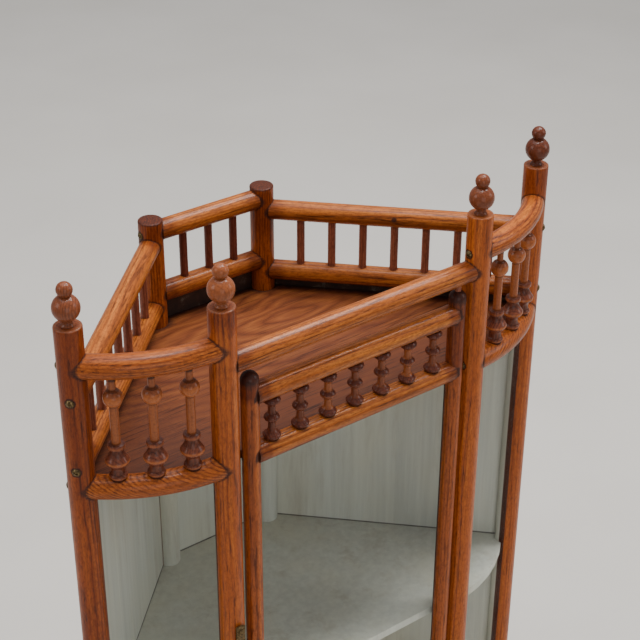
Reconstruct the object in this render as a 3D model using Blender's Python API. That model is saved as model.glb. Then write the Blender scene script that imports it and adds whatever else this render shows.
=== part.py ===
"""Corner cabinet of round rods, with bowed glass sides, one glazed door and a gallery of sticks.

Metres, +Z up. The origin is on the floor, under the middle of the cabinet's box. The door faces -Y.
Two flat back sides stand against the walls of a room's corner, with a narrow flat side between them.
"""
import math

import bmesh
import bpy
from mathutils import Matrix, Vector

# Clearances
GAP = 0.0003                   # between pieces that touch
HOLE_SLACK = 0.0003            # round a tenon, spigot or screw, on the radius
PIVOT_SLACK = 0.00015          # round a pin that something turns on, on the radius

# Plan, measured between the axes of the posts
FRONT_HALF = 0.1489            # from the middle to a front post
BOW_RADIUS = 0.1715            # of the bowed sides
BOW_ANGLE = math.radians(45)   # turned by each bowed side
WALL_LENGTH = 0.285            # from an outer post to a back post

# Posts and their finials
POST_D = 0.0254
POST_HEIGHT = 0.830
BACK_POST_DROP = 0.0437        # the back posts end this far below the others
POST_CHAMFER = 0.0014
POST_SIDES = 16
BIG_BALL_D = 0.0248
SMALL_BALL_D = 0.0145
FINIAL_NECK = 0.0052           # height of the neck under the large ball
FINIAL_SPIGOT_D = 0.008
FINIAL_SPIGOT_LENGTH = 0.014

# Rails, with the drop of each axis below the tops of the posts
RAIL_D = 0.0216
BOW_RAIL_D = 0.0229
RAIL_SIDES = 10
BOW_STEPS = 6
BOW_TOP_DROP = 0.0404
FRONT_TOP_DROP = 0.0597
BACK_TOP_DROP = 0.0582
BACK_LOW_DROP = 0.1299
SIDE_TOP_DROP = 0.0715
SIDE_LOW_DROP = 0.1436

# Boards, with the height of each upper face
TOP_BOARD_DROP = 0.1651
BOTTOM_BOARD_HEIGHT = 0.0323
BOARD_T = 0.009
BOW_RAIL_BELOW_BOARD = 0.0015  # from a board's upper face down to the axis of its bowed rails
SHELF_GLASS_GAP = 0.003
HOUSING = 0.0035               # depth of a board in the slot of a post

# Back panels, let into the backs of the posts
PANEL_T = 0.0077
PANEL_FLUSH = 0.0002           # set in from the back of the posts
PANEL_END = 0.006              # from a post's axis to a panel's end
PANEL_FOOT = 0.010
REBATE_OPEN = 0.003            # how far the cutter of a rebate stands out behind a post

# Gallery sticks
STICK_D = 0.0086
STICKS_PER_WALL = 7
STICK_SPREAD = 0.7053          # width of a row of sticks, as a share of the wall's length
BACK_STICKS = 3
BACK_STICK_SPREAD = 0.4516
STICK_SEAT = 0.008             # depth of a stick in a rail

# Turned balusters of the bowed sides
BALUSTERS_PER_BOW = 3
BALUSTER_FOOT_D = 0.0170
BALUSTER_BELL_D = 0.0224
BALUSTER_BALL_D = 0.0182
BALUSTER_NECK_D = 0.0126
BALUSTER_STEM_D = 0.0083
BALUSTER_TOP_D = 0.0064        # of the stem above the ball
BALUSTER_BALL_DROP = 0.0195    # from the underside of the top rail to the ball's middle
BALUSTER_SINK = 0.002          # the foot is let into the crown of the rail
SPIGOT_D = 0.0064
SPIGOT_LENGTH = 0.006

# Glass
GLASS_T = 0.003
GROOVE = 0.004                 # depth of the glass in a post, rail or stile

# Door, of rods with their axes just in front of the axes of the posts
DOOR_ROD_D = 0.0175            # of the stiles
DOOR_RAIL_D = 0.0212
DOOR_FORWARD = 0.002
DOOR_POST_GAP = 0.0043
DOOR_RAIL_GAP = 0.0042         # from the underside of the front rail to the tops of the stiles
DOOR_FLOOR_GAP = 0.0008        # from the bottom front rail to the feet of the stiles
DOOR_STOP_GAP = 0.0005         # from the back of the door to the front edges of the boards
DOOR_TOP_RAIL_DROP = 0.1000
DOOR_BOTTOM_RAIL_RISE = 0.0158  # above the feet of the stiles
DOOR_SIDES = 10
SPINDLES = 7
SPINDLE_LEFT_END = 0.0148      # from the left stile's face to the first spindle's axis
SPINDLE_RIGHT_END = 0.0206     # the row doesn't stand quite in the middle of the door
SPINDLE_DISC_D = 0.0172
SPINDLE_BEAD_D = 0.0150
SPINDLE_NECK_D = 0.0072
SPINDLE_SPIGOT_D = 0.005
SPINDLE_SINK = 0.0010          # the foot and cap are let into the crowns of the rails

# Door furniture
PIVOT_D = 0.0064
PIVOT_SEAT = 0.0105            # depth of a pivot pin in a stile
PIVOT_RAIL_SEAT = 0.007        # depth of a pivot pin in a rail
COLLAR_D = 0.012
COLLAR_T = 0.0030
KNOB_D = 0.015
KNOB_LENGTH = 0.016
KNOB_RISE = 0.050              # above the shelf
BUTTON_LENGTH = 0.044
BUTTON_WIDTH = 0.010
BUTTON_T = 0.004
BUTTON_EDGE = 0.0012           # bevel of the button's edges
BUTTON_PIVOT = 0.007           # from the button's short end to its screw
BUTTON_ABOVE_KNOB = 0.075
SCREW_SHANK_D = 0.0036
SCREW_HEAD_D = 0.0076
SCREW_HEAD_RISE = 0.0022
SCREW_BITE = 0.0155            # length of the screw in the post

# Tenons on the ends of the rails
TENON_D = 0.012
TENON_SEAT = 0.007             # depth of a tenon in a post
DOOR_TENON_D = 0.008
DOOR_TENON_SEAT = 0.005        # depth of a tenon in a stile
TENON_ROOT = 0.004             # how far a tenon's rod runs back past the rail's hollowed end
TENON_SIDES = 8
STICK_SIDES = 8
SPINDLE_SIDES = 8
BALUSTER_SIDES = 9
FINIAL_SIDES = 12
PIVOT_SIDES = 16
FACET_TURN = math.radians(6)   # keeps the facets of crossing round pieces from lining up

# Values that follow from those above
POST_R = POST_D / 2
POST_CORE = POST_R - HOUSING
RAIL_R = RAIL_D / 2
BOW_RAIL_R = BOW_RAIL_D / 2
DOOR_R = DOOR_ROD_D / 2
DOOR_RAIL_R = DOOR_RAIL_D / 2
BACK_DEPTH = BOW_RADIUS * (1 - math.cos(BOW_ANGLE)) + WALL_LENGTH * math.cos(BOW_ANGLE)
FRONT_REACH = DOOR_FORWARD + DOOR_R + KNOB_LENGTH
FRONT_Y = (FRONT_REACH - BACK_DEPTH - POST_R) / 2
DOOR_Y = FRONT_Y - DOOR_FORWARD
STILE_X = FRONT_HALF - POST_R - DOOR_POST_GAP - DOOR_R
TOP_BOARD_Z = POST_HEIGHT - TOP_BOARD_DROP
SHELF_Z = (TOP_BOARD_Z + BOTTOM_BOARD_HEIGHT) / 2
BOW_LOW_Z = TOP_BOARD_Z - BOW_RAIL_BELOW_BOARD
BOW_BOTTOM_Z = BOTTOM_BOARD_HEIGHT - BOW_RAIL_BELOW_BOARD
FRONT_TOP_Z = POST_HEIGHT - FRONT_TOP_DROP
FRONT_BOTTOM_Z = BOW_BOTTOM_Z
DOOR_TOP = FRONT_TOP_Z - math.sqrt(RAIL_R ** 2 - DOOR_FORWARD ** 2) - DOOR_RAIL_GAP
DOOR_FOOT = FRONT_BOTTOM_Z + RAIL_R + DOOR_FLOOR_GAP
DOOR_RAILS = {
    "top": POST_HEIGHT - DOOR_TOP_RAIL_DROP,
    "middle": TOP_BOARD_Z,
    "bottom": DOOR_FOOT + DOOR_BOTTOM_RAIL_RISE,
}
KNOB_Z = SHELF_Z + KNOB_RISE
BUTTON_Z = KNOB_Z + BUTTON_ABOVE_KNOB
PANEL_INNER = POST_R - PANEL_FLUSH - PANEL_T
SIDES = {"left": -1, "right": 1}
LYING = Matrix.Rotation(math.pi / 2, 4, "Y") @ Matrix.Rotation(FACET_TURN, 4, "Z")


# Plan

def right_posts():
    """Axes of the right-hand posts in plan, from the front round to the back."""
    front = Vector((FRONT_HALF, FRONT_Y, 0))
    bow = Vector((math.sin(BOW_ANGLE), 1 - math.cos(BOW_ANGLE), 0))
    outer = front + BOW_RADIUS * bow
    back = outer + WALL_LENGTH * Vector((-math.sin(BOW_ANGLE), math.cos(BOW_ANGLE), 0))
    return {"front": front, "outer": outer, "back": back}


def post_axes():
    """Axes of all six posts in plan, by name."""
    axes = {}
    for side, sign in SIDES.items():
        for place, point in right_posts().items():
            axes[f"{place}_{side}"] = Vector((sign * point.x, point.y, 0))
    return axes


POSTS = post_axes()
WALLS = {
    "left": ("outer_left", "back_left"),
    "centre": ("back_left", "back_right"),
    "right": ("back_right", "outer_right"),
}


def wall_frame(wall):
    """Middle, length, direction and outward normal of a back side, on the axes of its posts."""
    start, end = (POSTS[name] for name in WALLS[wall])
    along = (end - start).normalized()
    outward = Vector((-along.y, along.x, 0))
    return (start + end) / 2, (end - start).length, along, outward


def bow_centre(side):
    """Centre of a bowed side's arc, in plan."""
    return Vector((SIDES[side] * FRONT_HALF, FRONT_Y + BOW_RADIUS, 0))


def bow_point(side, angle, radius=BOW_RADIUS):
    """Point of a bowed side, at an angle from its front post."""
    reach = Vector((SIDES[side] * math.sin(angle), -math.cos(angle), 0))
    return bow_centre(side) + radius * reach


# Meshes

def finish_mesh(bm, name):
    """Turn a bmesh into a mesh with its faces outward and its round faces shaded smooth."""
    bmesh.ops.recalc_face_normals(bm, faces=bm.faces[:])
    mesh = bpy.data.meshes.new(name)
    bm.to_mesh(mesh)
    bm.free()
    mesh.shade_smooth()
    mesh.set_sharp_from_angle(angle=math.radians(35))
    return mesh


def add_turned(bm, profile, sides, place):
    """Turn a profile of (radius, height) points round Z, and put the body in its place."""
    rings = []
    for radius, height in profile:
        angles = [math.tau * i / sides for i in range(sides if radius else 1)]
        ring = [Vector((radius * math.cos(a), radius * math.sin(a), height)) for a in angles]
        rings.append([bm.verts.new(place @ point) for point in ring])
    for low, high in zip(rings, rings[1:]):
        for i in range(sides):
            corners = [ring[k % len(ring)] for ring, k in
                       ((low, i), (low, (i + 1) % sides), (high, (i + 1) % sides), (high, i))]
            bm.faces.new(dict.fromkeys(corners))


def turned_mesh(name, profile, sides, places=(Matrix(),)):
    """One turned body, or one at each of several places."""
    bm = bmesh.new()
    for place in places:
        add_turned(bm, profile, sides, place)
    return finish_mesh(bm, name)


def box_mesh(name, size, places=(Matrix(),)):
    """One box round the origin, or one at each of several places."""
    bm = bmesh.new()
    for place in places:
        bmesh.ops.create_cube(bm, size=1, matrix=place @ Matrix.Diagonal((*size, 1)))
    return finish_mesh(bm, name)


def swept_mesh(name, outlines, angle):
    """Closed outlines, each given with the axis it is swept round, with their ends filled."""
    bm = bmesh.new()
    for outline, centre, sign in outlines:
        verts = [bm.verts.new(point) for point in outline]
        edges = [bm.edges.new((vert, verts[i - 1])) for i, vert in enumerate(verts)]
        bmesh.ops.spin(bm, geom=verts + edges, cent=centre, axis=(0, 0, sign), angle=angle,
                       steps=BOW_STEPS)
    bmesh.ops.holes_fill(bm, edges=bm.edges[:])
    return finish_mesh(bm, name)


def plate_mesh(name, outline, thickness):
    """A flat plate below the origin's level, from its outline in plan."""
    bm = bmesh.new()
    face = bm.faces.new([bm.verts.new((point.x, point.y, 0)) for point in outline])
    lower = bmesh.ops.extrude_face_region(bm, geom=[face])["geom"]
    moved = [item for item in lower if isinstance(item, bmesh.types.BMVert)]
    bmesh.ops.translate(bm, vec=(0, 0, -thickness), verts=moved)
    return finish_mesh(bm, name)


# Profiles, from the lowest point up

def rod_profile(radius, low, high):
    """A plain round rod."""
    return [(0, low), (radius, low), (radius, high), (0, high)]


def stepped_profile(steps):
    """A stack of round rods, given as (radius, low, high), without joints between them."""
    points = [(0, steps[0][1])]
    for radius, low, high in steps:
        points += [(radius, low), (radius, high)]
    return points + [(0, steps[-1][2])]


def ball_profile(radius, height, low_neck, high_neck, steps):
    """Part of a ball, from the neck below it to the neck above it."""
    start = -math.acos(low_neck / radius)
    end = math.acos(high_neck / radius)
    angles = [start + (end - start) * i / steps for i in range(steps + 1)]
    return [(radius * math.cos(a), height + radius * math.sin(a)) for a in angles]


def post_profile(height):
    """A post with its two ends chamfered."""
    rim = POST_R - POST_CHAMFER
    return [(0, 0), (rim, 0), (POST_R, POST_CHAMFER), (POST_R, height - POST_CHAMFER),
            (rim, height), (0, height)]


def finial_profile():
    """A spigot, a neck that flares at its foot, a large ball and a small ball on top."""
    flare = 0.25 * POST_D
    neck = 0.185 * POST_D
    waist = 0.62 * SMALL_BALL_D / 2
    large, small = BIG_BALL_D / 2, SMALL_BALL_D / 2
    large_z = FINIAL_NECK + math.sqrt(large ** 2 - neck ** 2)
    small_z = large_z + math.sqrt(large ** 2 - waist ** 2) + math.sqrt(small ** 2 - waist ** 2)
    base = stepped_profile([(FINIAL_SPIGOT_D / 2, -FINIAL_SPIGOT_LENGTH, GAP)])[:-1]
    base += [(flare, GAP), (neck, 0.5 * FINIAL_NECK)]
    top = ball_profile(small, small_z, waist, waist / 4, 4)[1:-1]
    return base + ball_profile(large, large_z, neck, waist, 5) + top + [(0, small_z + small)]


def baluster_profile(low, high):
    """A spigot, a foot, a neck, a bell, a collar, a stem and a ball, between two rails' crowns."""
    foot, bell, neck = BALUSTER_FOOT_D / 2, BALUSTER_BELL_D / 2, BALUSTER_NECK_D / 2
    stem, tip = BALUSTER_STEM_D / 2, BALUSTER_TOP_D / 2
    ball_z = high - BALUSTER_BALL_DROP
    seat = low - BALUSTER_SINK + GAP
    lower = [(SPIGOT_D / 2, low - BALUSTER_SINK - SPIGOT_LENGTH), (SPIGOT_D / 2, seat),
             (0.78 * foot, seat), (foot, low + 0.0019), (0.97 * foot, low + 0.0033),
             (neck, low + 0.0051), (neck, low + 0.0106), (0.84 * bell, low + 0.0147),
             (bell, low + 0.0174), (bell, low + 0.0190), (0.84 * bell, low + 0.0217),
             (0.60 * bell, low + 0.0265), (0.55 * bell, low + 0.0296),
             (0.92 * foot, low + 0.0320), (0.92 * foot, low + 0.0345),
             (0.84 * foot, low + 0.0358), (stem, low + 0.0362)]
    ball = ball_profile(BALUSTER_BALL_D / 2, ball_z, stem, tip, 4)
    top = [(tip, high + SPIGOT_LENGTH), (0, high + SPIGOT_LENGTH)]
    return [(0, lower[0][1])] + lower + ball + top


def spindle_profile(low, high):
    """A spigot, a foot, a neck, a bead, a neck and a cap, between the two upper door rails."""
    disc, bead = SPINDLE_DISC_D / 2, SPINDLE_BEAD_D / 2
    neck, spigot = SPINDLE_NECK_D / 2, SPINDLE_SPIGOT_D / 2
    middle = (low + high) / 2
    lower = [(0, low - SPIGOT_LENGTH), (spigot, low - SPIGOT_LENGTH), (spigot, low - SPINDLE_SINK),
             (0.8 * disc, low - SPINDLE_SINK), (disc, low + 0.0022), (0.92 * disc, low + 0.0045),
             (1.2 * neck, low + 0.0082), (neck, low + 0.0110), (neck, middle - 0.0052),
             (0.93 * bead, middle - 0.0018)]
    upper = [(radius, low + high - height) for radius, height in reversed(lower)]
    return lower + upper


def spindle_socket(low, high):
    """The space that a spindle's two ends take in the rails, as two plain bodies."""
    spigot = SPINDLE_SPIGOT_D / 2 + HOLE_SLACK
    disc = SPINDLE_DISC_D / 2 + HOLE_SLACK
    seat = SPINDLE_SINK + GAP
    lower = [(spigot, low - SPIGOT_LENGTH - GAP, low - seat), (disc, low - seat, low + 0.0040)]
    upper = [(disc, high - 0.0040, high + seat), (spigot, high + seat, high + SPIGOT_LENGTH + GAP)]
    return stepped_profile(lower), stepped_profile(upper)


def stile_profile():
    """A door stile with a domed top."""
    dome = ball_profile(DOOR_R, DOOR_TOP - DOOR_R, DOOR_R, DOOR_R / 4, 4)[:-1]
    return [(0, DOOR_FOOT), (DOOR_R, DOOR_FOOT)] + dome + [(0, DOOR_TOP)]


def knob_profile():
    """A spigot and a turned knob that stands out of the stile."""
    knob = KNOB_D / 2
    seat = DOOR_R - 0.0012
    tip = DOOR_R + KNOB_LENGTH
    return [(0, seat - SPIGOT_LENGTH), (SPINDLE_SPIGOT_D / 2, seat - SPIGOT_LENGTH),
            (SPINDLE_SPIGOT_D / 2, seat), (0.52 * knob, seat), (0.52 * knob, tip - 0.0115),
            (0.40 * knob, tip - 0.0100), (0.90 * knob, tip - 0.0070), (knob, tip - 0.0045),
            (0.85 * knob, tip - 0.0018), (0.50 * knob, tip - 0.0003), (0, tip)]


def knob_socket():
    """The hole and the flat seat for the knob."""
    seat = DOOR_R - 0.0012 - GAP
    return stepped_profile([(SPINDLE_SPIGOT_D / 2 + HOLE_SLACK, seat - SPIGOT_LENGTH, seat),
                            (0.52 * KNOB_D / 2 + HOLE_SLACK, seat, DOOR_R + KNOB_LENGTH)])


def button_screw_profile():
    """The turn button's screw from its tip to its domed head, with the button's back at zero."""
    shank, head = SCREW_SHANK_D / 2, SCREW_HEAD_D / 2
    base = BUTTON_T + GAP
    return [(0, -SCREW_BITE), (shank, -SCREW_BITE), (shank, base), (head, base),
            (0.94 * head, base + 0.4 * SCREW_HEAD_RISE), (0.6 * head, base + 0.85 * SCREW_HEAD_RISE),
            (0, base + SCREW_HEAD_RISE)]


# Materials

def finish(name, colour, roughness, metallic=0.0):
    """A plain surface, made once for each name."""
    material = bpy.data.materials.get(name)
    if material is None:
        material = bpy.data.materials.new(name)
        material.use_nodes = True
        material.diffuse_color = (*colour, 1)
        shader = material.node_tree.nodes["Principled BSDF"]
        shader.inputs["Base Color"].default_value = (*colour, 1)
        shader.inputs["Roughness"].default_value = roughness
        shader.inputs["Metallic"].default_value = metallic
    return material


def oak():
    """Orange-brown varnished rods."""
    return finish("oak", (0.34, 0.12, 0.035), 0.38)


def turned_wood():
    """Darker red-brown turnings."""
    return finish("turned_wood", (0.15, 0.040, 0.016), 0.32)


def board_wood():
    """Brown stained board."""
    return finish("board_wood", (0.22, 0.075, 0.024), 0.45)


def painted_wood():
    """Worn sage paint of the inside."""
    return finish("painted_wood", (0.20, 0.225, 0.17), 0.6)


def clear_glass():
    """Window glass."""
    material = finish("clear_glass", (0.85, 0.9, 0.88), 0.03)
    material.node_tree.nodes["Principled BSDF"].inputs["Transmission Weight"].default_value = 0.95
    return material


def aged_brass():
    """Dull brass of the screws and the turn button."""
    return finish("aged_brass", (0.36, 0.22, 0.08), 0.42, 0.9)


# Objects

def add_object(name, mesh, material, location=(0, 0, 0), turn=0.0, parent=None):
    """Put a mesh in the scene as a named piece."""
    piece = bpy.data.objects.new(name, mesh)
    piece.location = location
    piece.rotation_euler.z = turn
    bpy.context.scene.collection.objects.link(piece)
    if material:
        mesh.materials.clear()
        mesh.materials.append(material)
    if parent:
        piece.parent = parent
        piece.matrix_parent_inverse = Matrix.Translation(parent.location).inverted()
    return piece


def add_cutter(name, mesh):
    """A body that only cuts others, and isn't part of the cabinet."""
    cutter = add_object(name, mesh, None)
    cutter.hide_render = True
    cutter.display_type = "WIRE"
    return cutter


def add_axis(name, location):
    """An empty on the axis that a group of pieces turns on."""
    axis = bpy.data.objects.new(name, None)
    axis.location = location
    axis.empty_display_size = 0.03
    bpy.context.scene.collection.objects.link(axis)
    return axis


def combine(piece, other, operation):
    """Cut a piece with another body, or join the other body to it."""
    modifier = piece.modifiers.new(other.name, "BOOLEAN")
    modifier.operation = operation
    modifier.solver = "EXACT"
    modifier.object = other


def cut(piece, *cutters):
    """Cut a piece with one or more cutters."""
    for cutter in cutters:
        combine(piece, cutter, "DIFFERENCE")


def upright(point):
    """A place for a small turned body that stands at a point."""
    return Matrix.Translation(point) @ Matrix.Rotation(FACET_TURN, 4, "Z")


def pointing(point, direction):
    """A place for a turned body whose Z axis points along a direction."""
    turn = Vector(direction).to_track_quat("Z", "Y").to_matrix().to_4x4()
    return Matrix.Translation(point) @ turn


def along_angle(direction):
    """Angle of a level direction from +X."""
    return math.atan2(direction.y, direction.x)


# Where the rails, sticks and tenons are

def straight_rails():
    """The straight rails, as their two posts and the height of their axis."""
    rails = {"front_rail_top": ("front_left", "front_right", FRONT_TOP_Z),
             "front_rail_bottom": ("front_left", "front_right", FRONT_BOTTOM_Z),
             "back_rail_top": (*WALLS["centre"], POST_HEIGHT - BACK_TOP_DROP),
             "back_rail_lower": (*WALLS["centre"], POST_HEIGHT - BACK_LOW_DROP)}
    for side in SIDES:
        rails[f"side_rail_top_{side}"] = (*WALLS[side], POST_HEIGHT - SIDE_TOP_DROP)
        rails[f"side_gallery_{side}"] = (*WALLS[side], POST_HEIGHT - SIDE_LOW_DROP)
    return rails


def bow_rail_heights():
    """The bowed rails' axes, by level."""
    return {"top": POST_HEIGHT - BOW_TOP_DROP, "lower": BOW_LOW_Z, "bottom": BOW_BOTTOM_Z}


def stick_places(wall):
    """Feet of a back side's sticks, in plan."""
    middle, length, along, _ = wall_frame(wall)
    count, spread = STICKS_PER_WALL, STICK_SPREAD
    if wall == "centre":
        count, spread = BACK_STICKS, BACK_STICK_SPREAD
    return [middle + along * length * spread * (i / (count - 1) - 0.5) for i in range(count)]


def stick_span(wall):
    """Lowest and highest point of a back side's sticks."""
    low, high = (BACK_LOW_DROP, BACK_TOP_DROP) if wall == "centre" else (SIDE_LOW_DROP, SIDE_TOP_DROP)
    return (POST_HEIGHT - low + RAIL_R - STICK_SEAT, POST_HEIGHT - high - RAIL_R + STICK_SEAT)


def baluster_span():
    """Crown of the lower bowed rails and underside of the top ones."""
    heights = bow_rail_heights()
    return heights["lower"] + BOW_RAIL_R, heights["top"] - BOW_RAIL_R


def baluster_points(side):
    """Axes of a bowed side's balusters, in plan."""
    share = BOW_ANGLE / (BALUSTERS_PER_BOW + 1)
    return [bow_point(side, share * (i + 1)) for i in range(BALUSTERS_PER_BOW)]


def spindle_span():
    """Crown of the door's middle rail and underside of its top rail."""
    return DOOR_RAILS["middle"] + DOOR_RAIL_R, DOOR_RAILS["top"] - DOOR_RAIL_R


def spindle_points():
    """Axes of the door's spindles, in plan."""
    first = DOOR_R - STILE_X + SPINDLE_LEFT_END
    last = STILE_X - DOOR_R - SPINDLE_RIGHT_END
    pitch = (last - first) / (SPINDLES - 1)
    return [Vector((first + pitch * i, DOOR_Y, 0)) for i in range(SPINDLES)]


def frame_tenon_places():
    """Points on the axes of the posts where a rail starts, with the direction that it leaves in."""
    places = []
    for start, end, height in straight_rails().values():
        along = (POSTS[end] - POSTS[start]).normalized()
        places.append((POSTS[start] + Vector((0, 0, height)), along))
        places.append((POSTS[end] + Vector((0, 0, height)), -along))
    for side, sign in SIDES.items():
        arrival = Vector((-sign * math.cos(BOW_ANGLE), -math.sin(BOW_ANGLE), 0))
        for height in bow_rail_heights().values():
            places.append((POSTS[f"front_{side}"] + Vector((0, 0, height)), Vector((sign, 0, 0))))
            places.append((POSTS[f"outer_{side}"] + Vector((0, 0, height)), arrival))
    return places


def door_tenon_places():
    """Points on the axes of the stiles where a rail of the door starts, with its direction."""
    return [(Vector((sign * STILE_X, DOOR_Y, height)), Vector((-sign, 0, 0)))
            for sign in SIDES.values() for height in DOOR_RAILS.values()]


def tenon_mesh(name, places, radius, start, end):
    """Round tenons, from their tips to the roots in their rails."""
    profile = rod_profile(radius, start, end)
    turn = Matrix.Rotation(FACET_TURN, 4, "Z")
    return turned_mesh(name, profile, TENON_SIDES, [pointing(*place) @ turn for place in places])


def pivot_pins():
    """Foot and top of the pins that the door turns on."""
    top = (DOOR_TOP - PIVOT_SEAT, DOOR_TOP + DOOR_RAIL_GAP + PIVOT_RAIL_SEAT)
    bottom = (DOOR_FOOT - DOOR_FLOOR_GAP - PIVOT_RAIL_SEAT - COLLAR_T, DOOR_FOOT + PIVOT_SEAT)
    return {"top": top, "bottom": bottom}


def pivot_point():
    """The door's axis in plan."""
    return Vector((STILE_X, DOOR_Y, 0))


def button_seat():
    """The point of the left front post that the turn button is screwed to."""
    return POSTS["front_left"] + Vector((0, -POST_R - GAP, BUTTON_Z))


# Cutters

def cylinder_cutter(name, points, radius, sides):
    """Tall cylinders round the axes of posts or stiles."""
    profile = rod_profile(radius, -POST_R, POST_HEIGHT + POST_R)
    places = [Matrix.Translation(point) for point in points]
    return add_cutter(name, turned_mesh(name, profile, sides, places))


def frame_rail_end_cutter():
    """The posts, grown by a gap, but without the tenons that the rails keep inside them."""
    ends = cylinder_cutter("cut_rail_ends", POSTS.values(), POST_R + GAP, POST_SIDES)
    mesh = tenon_mesh("cut_rail_tenons", frame_tenon_places(), TENON_D / 2,
                      POST_R - TENON_SEAT, POST_R + TENON_ROOT)
    cut(ends, add_cutter("cut_rail_tenons", mesh))
    return ends


def door_rail_end_cutter():
    """The door's stiles, grown by a gap, but without the tenons of the door's rails."""
    points = [Vector((sign * STILE_X, DOOR_Y, 0)) for sign in SIDES.values()]
    ends = cylinder_cutter("cut_door_rail_ends", points, DOOR_R + GAP, DOOR_SIDES)
    mesh = tenon_mesh("cut_door_rail_tenons", door_tenon_places(), DOOR_TENON_D / 2,
                      DOOR_R - DOOR_TENON_SEAT, DOOR_R + TENON_ROOT)
    cut(ends, add_cutter("cut_door_rail_tenons", mesh))
    return ends


def mortise_cutter():
    """The holes of the rails' tenons in the posts."""
    mesh = tenon_mesh("cut_mortises", frame_tenon_places(), TENON_D / 2 + HOLE_SLACK,
                      POST_R - TENON_SEAT - GAP, POST_R + TENON_ROOT)
    return add_cutter("cut_mortises", mesh)


def door_mortise_cutter():
    """The holes of the door rails' tenons in the stiles."""
    mesh = tenon_mesh("cut_door_mortises", door_tenon_places(), DOOR_TENON_D / 2 + HOLE_SLACK,
                      DOOR_R - DOOR_TENON_SEAT - GAP, DOOR_R + TENON_ROOT)
    return add_cutter("cut_door_mortises", mesh)


def housing_cutter():
    """The slots of the boards in the posts."""
    bm = bmesh.new()
    for height, front, inset in board_shapes().values():
        plate = plate_mesh("slot", board_outline(front - GAP, inset - GAP, GAP), BOARD_T + 2 * GAP)
        plate.transform(Matrix.Translation((0, 0, height + GAP)))
        bm.from_mesh(plate)
        bpy.data.meshes.remove(plate)
    slots = add_cutter("cut_housings", finish_mesh(bm, "cut_housings"))
    cut(slots, cylinder_cutter("cut_slot_cores", POSTS.values(), POST_CORE, POST_SIDES))
    return slots


def rebate_cutter():
    """The spaces of the back panels, open behind the posts."""
    bm = bmesh.new()
    for wall in WALLS:
        middle, length, along, outward = wall_frame(wall)
        low, high = panel_span(wall)
        depth = POST_R + REBATE_OPEN - PANEL_INNER + GAP
        centre = middle + outward * (PANEL_INNER - GAP + depth / 2)
        centre.z = (low + high) / 2
        size = (length - 2 * PANEL_END + 2 * GAP, depth, high - low + 2 * GAP, 1)
        place = Matrix.Translation(centre) @ Matrix.Rotation(along_angle(along), 4, "Z")
        bmesh.ops.create_cube(bm, size=1, matrix=place @ Matrix.Diagonal(size))
    return add_cutter("cut_rebates", finish_mesh(bm, "cut_rebates"))


def bow_glass_mesh(name, sides, grow):
    """Bent panes between the bowed rails and the posts, grown on every side."""
    half = GLASS_T / 2 + grow
    low = BOW_BOTTOM_Z + BOW_RAIL_R - GROOVE - grow
    high = BOW_LOW_Z - BOW_RAIL_R + GROOVE + grow
    start = (POST_R - GROOVE - grow) / BOW_RADIUS
    outlines = []
    for side in sides:
        inner = bow_point(side, start, BOW_RADIUS - half)
        outer = bow_point(side, start, BOW_RADIUS + half)
        outline = [Vector((p.x, p.y, z)) for p, z in
                   ((inner, low), (outer, low), (outer, high), (inner, high))]
        outlines.append((outline, bow_centre(side), SIDES[side]))
    return swept_mesh(name, outlines, BOW_ANGLE - 2 * start)


def door_glass_size(grow):
    """Size and middle of the door's pane, grown on every side."""
    half = STILE_X - DOOR_R + GROOVE + grow
    low = DOOR_RAILS["bottom"] + DOOR_RAIL_R - GROOVE - grow
    high = DOOR_RAILS["middle"] - DOOR_RAIL_R + GROOVE + grow
    return (2 * half, GLASS_T + 2 * grow, high - low), Vector((0, DOOR_Y, (low + high) / 2))


def glass_cutter():
    """The grooves of all the panes."""
    bm = bmesh.new()
    bm.from_mesh(bow_glass_mesh("bow_grooves", SIDES, GAP))
    size, centre = door_glass_size(GAP)
    place = Matrix.Translation(centre) @ Matrix.Diagonal((*size, 1))
    bmesh.ops.create_cube(bm, size=1, matrix=place)
    return add_cutter("cut_grooves", finish_mesh(bm, "cut_grooves"))


def gallery_holes(bm):
    """Holes and seats for the sticks, balusters and finials."""
    for wall in WALLS:
        low, high = stick_span(wall)
        profile = rod_profile(STICK_D / 2 + HOLE_SLACK, low - GAP, high + GAP)
        for point in stick_places(wall):
            add_turned(bm, profile, STICK_SIDES, upright(point))
    low, high = baluster_span()
    seat = low - BALUSTER_SINK
    foot = stepped_profile([(SPIGOT_D / 2 + HOLE_SLACK, seat - SPIGOT_LENGTH - GAP, seat),
                            (BALUSTER_FOOT_D / 2 + HOLE_SLACK, seat, low + BALUSTER_SINK)])
    head = rod_profile(BALUSTER_TOP_D / 2 + HOLE_SLACK, high - STICK_SEAT, high + SPIGOT_LENGTH + GAP)
    for side in SIDES:
        for point in baluster_points(side):
            add_turned(bm, foot, BALUSTER_SIDES, upright(point))
            add_turned(bm, head, BALUSTER_SIDES, upright(point))
    spigot = rod_profile(FINIAL_SPIGOT_D / 2 + HOLE_SLACK, -FINIAL_SPIGOT_LENGTH - GAP, POST_R)
    for name in finial_posts():
        top = POSTS[name] + Vector((0, 0, POST_HEIGHT))
        add_turned(bm, spigot, FINIAL_SIDES, Matrix.Translation(top))


def pivot_holes(bm):
    """Holes for the pins that the door turns on, and the seat of their collar."""
    low, high = pivot_pins()["top"]
    radius = PIVOT_D / 2 + PIVOT_SLACK
    add_turned(bm, rod_profile(radius, low - GAP, high + GAP), PIVOT_SIDES, upright(pivot_point()))
    low, high = pivot_pins()["bottom"]
    seat = collar_foot() - GAP
    steps = [(radius, low - GAP, seat), (COLLAR_D / 2 + HOLE_SLACK, seat, DOOR_FOOT - GAP),
             (radius, DOOR_FOOT - GAP, high + GAP)]
    add_turned(bm, stepped_profile(steps), PIVOT_SIDES, upright(pivot_point()))


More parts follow.
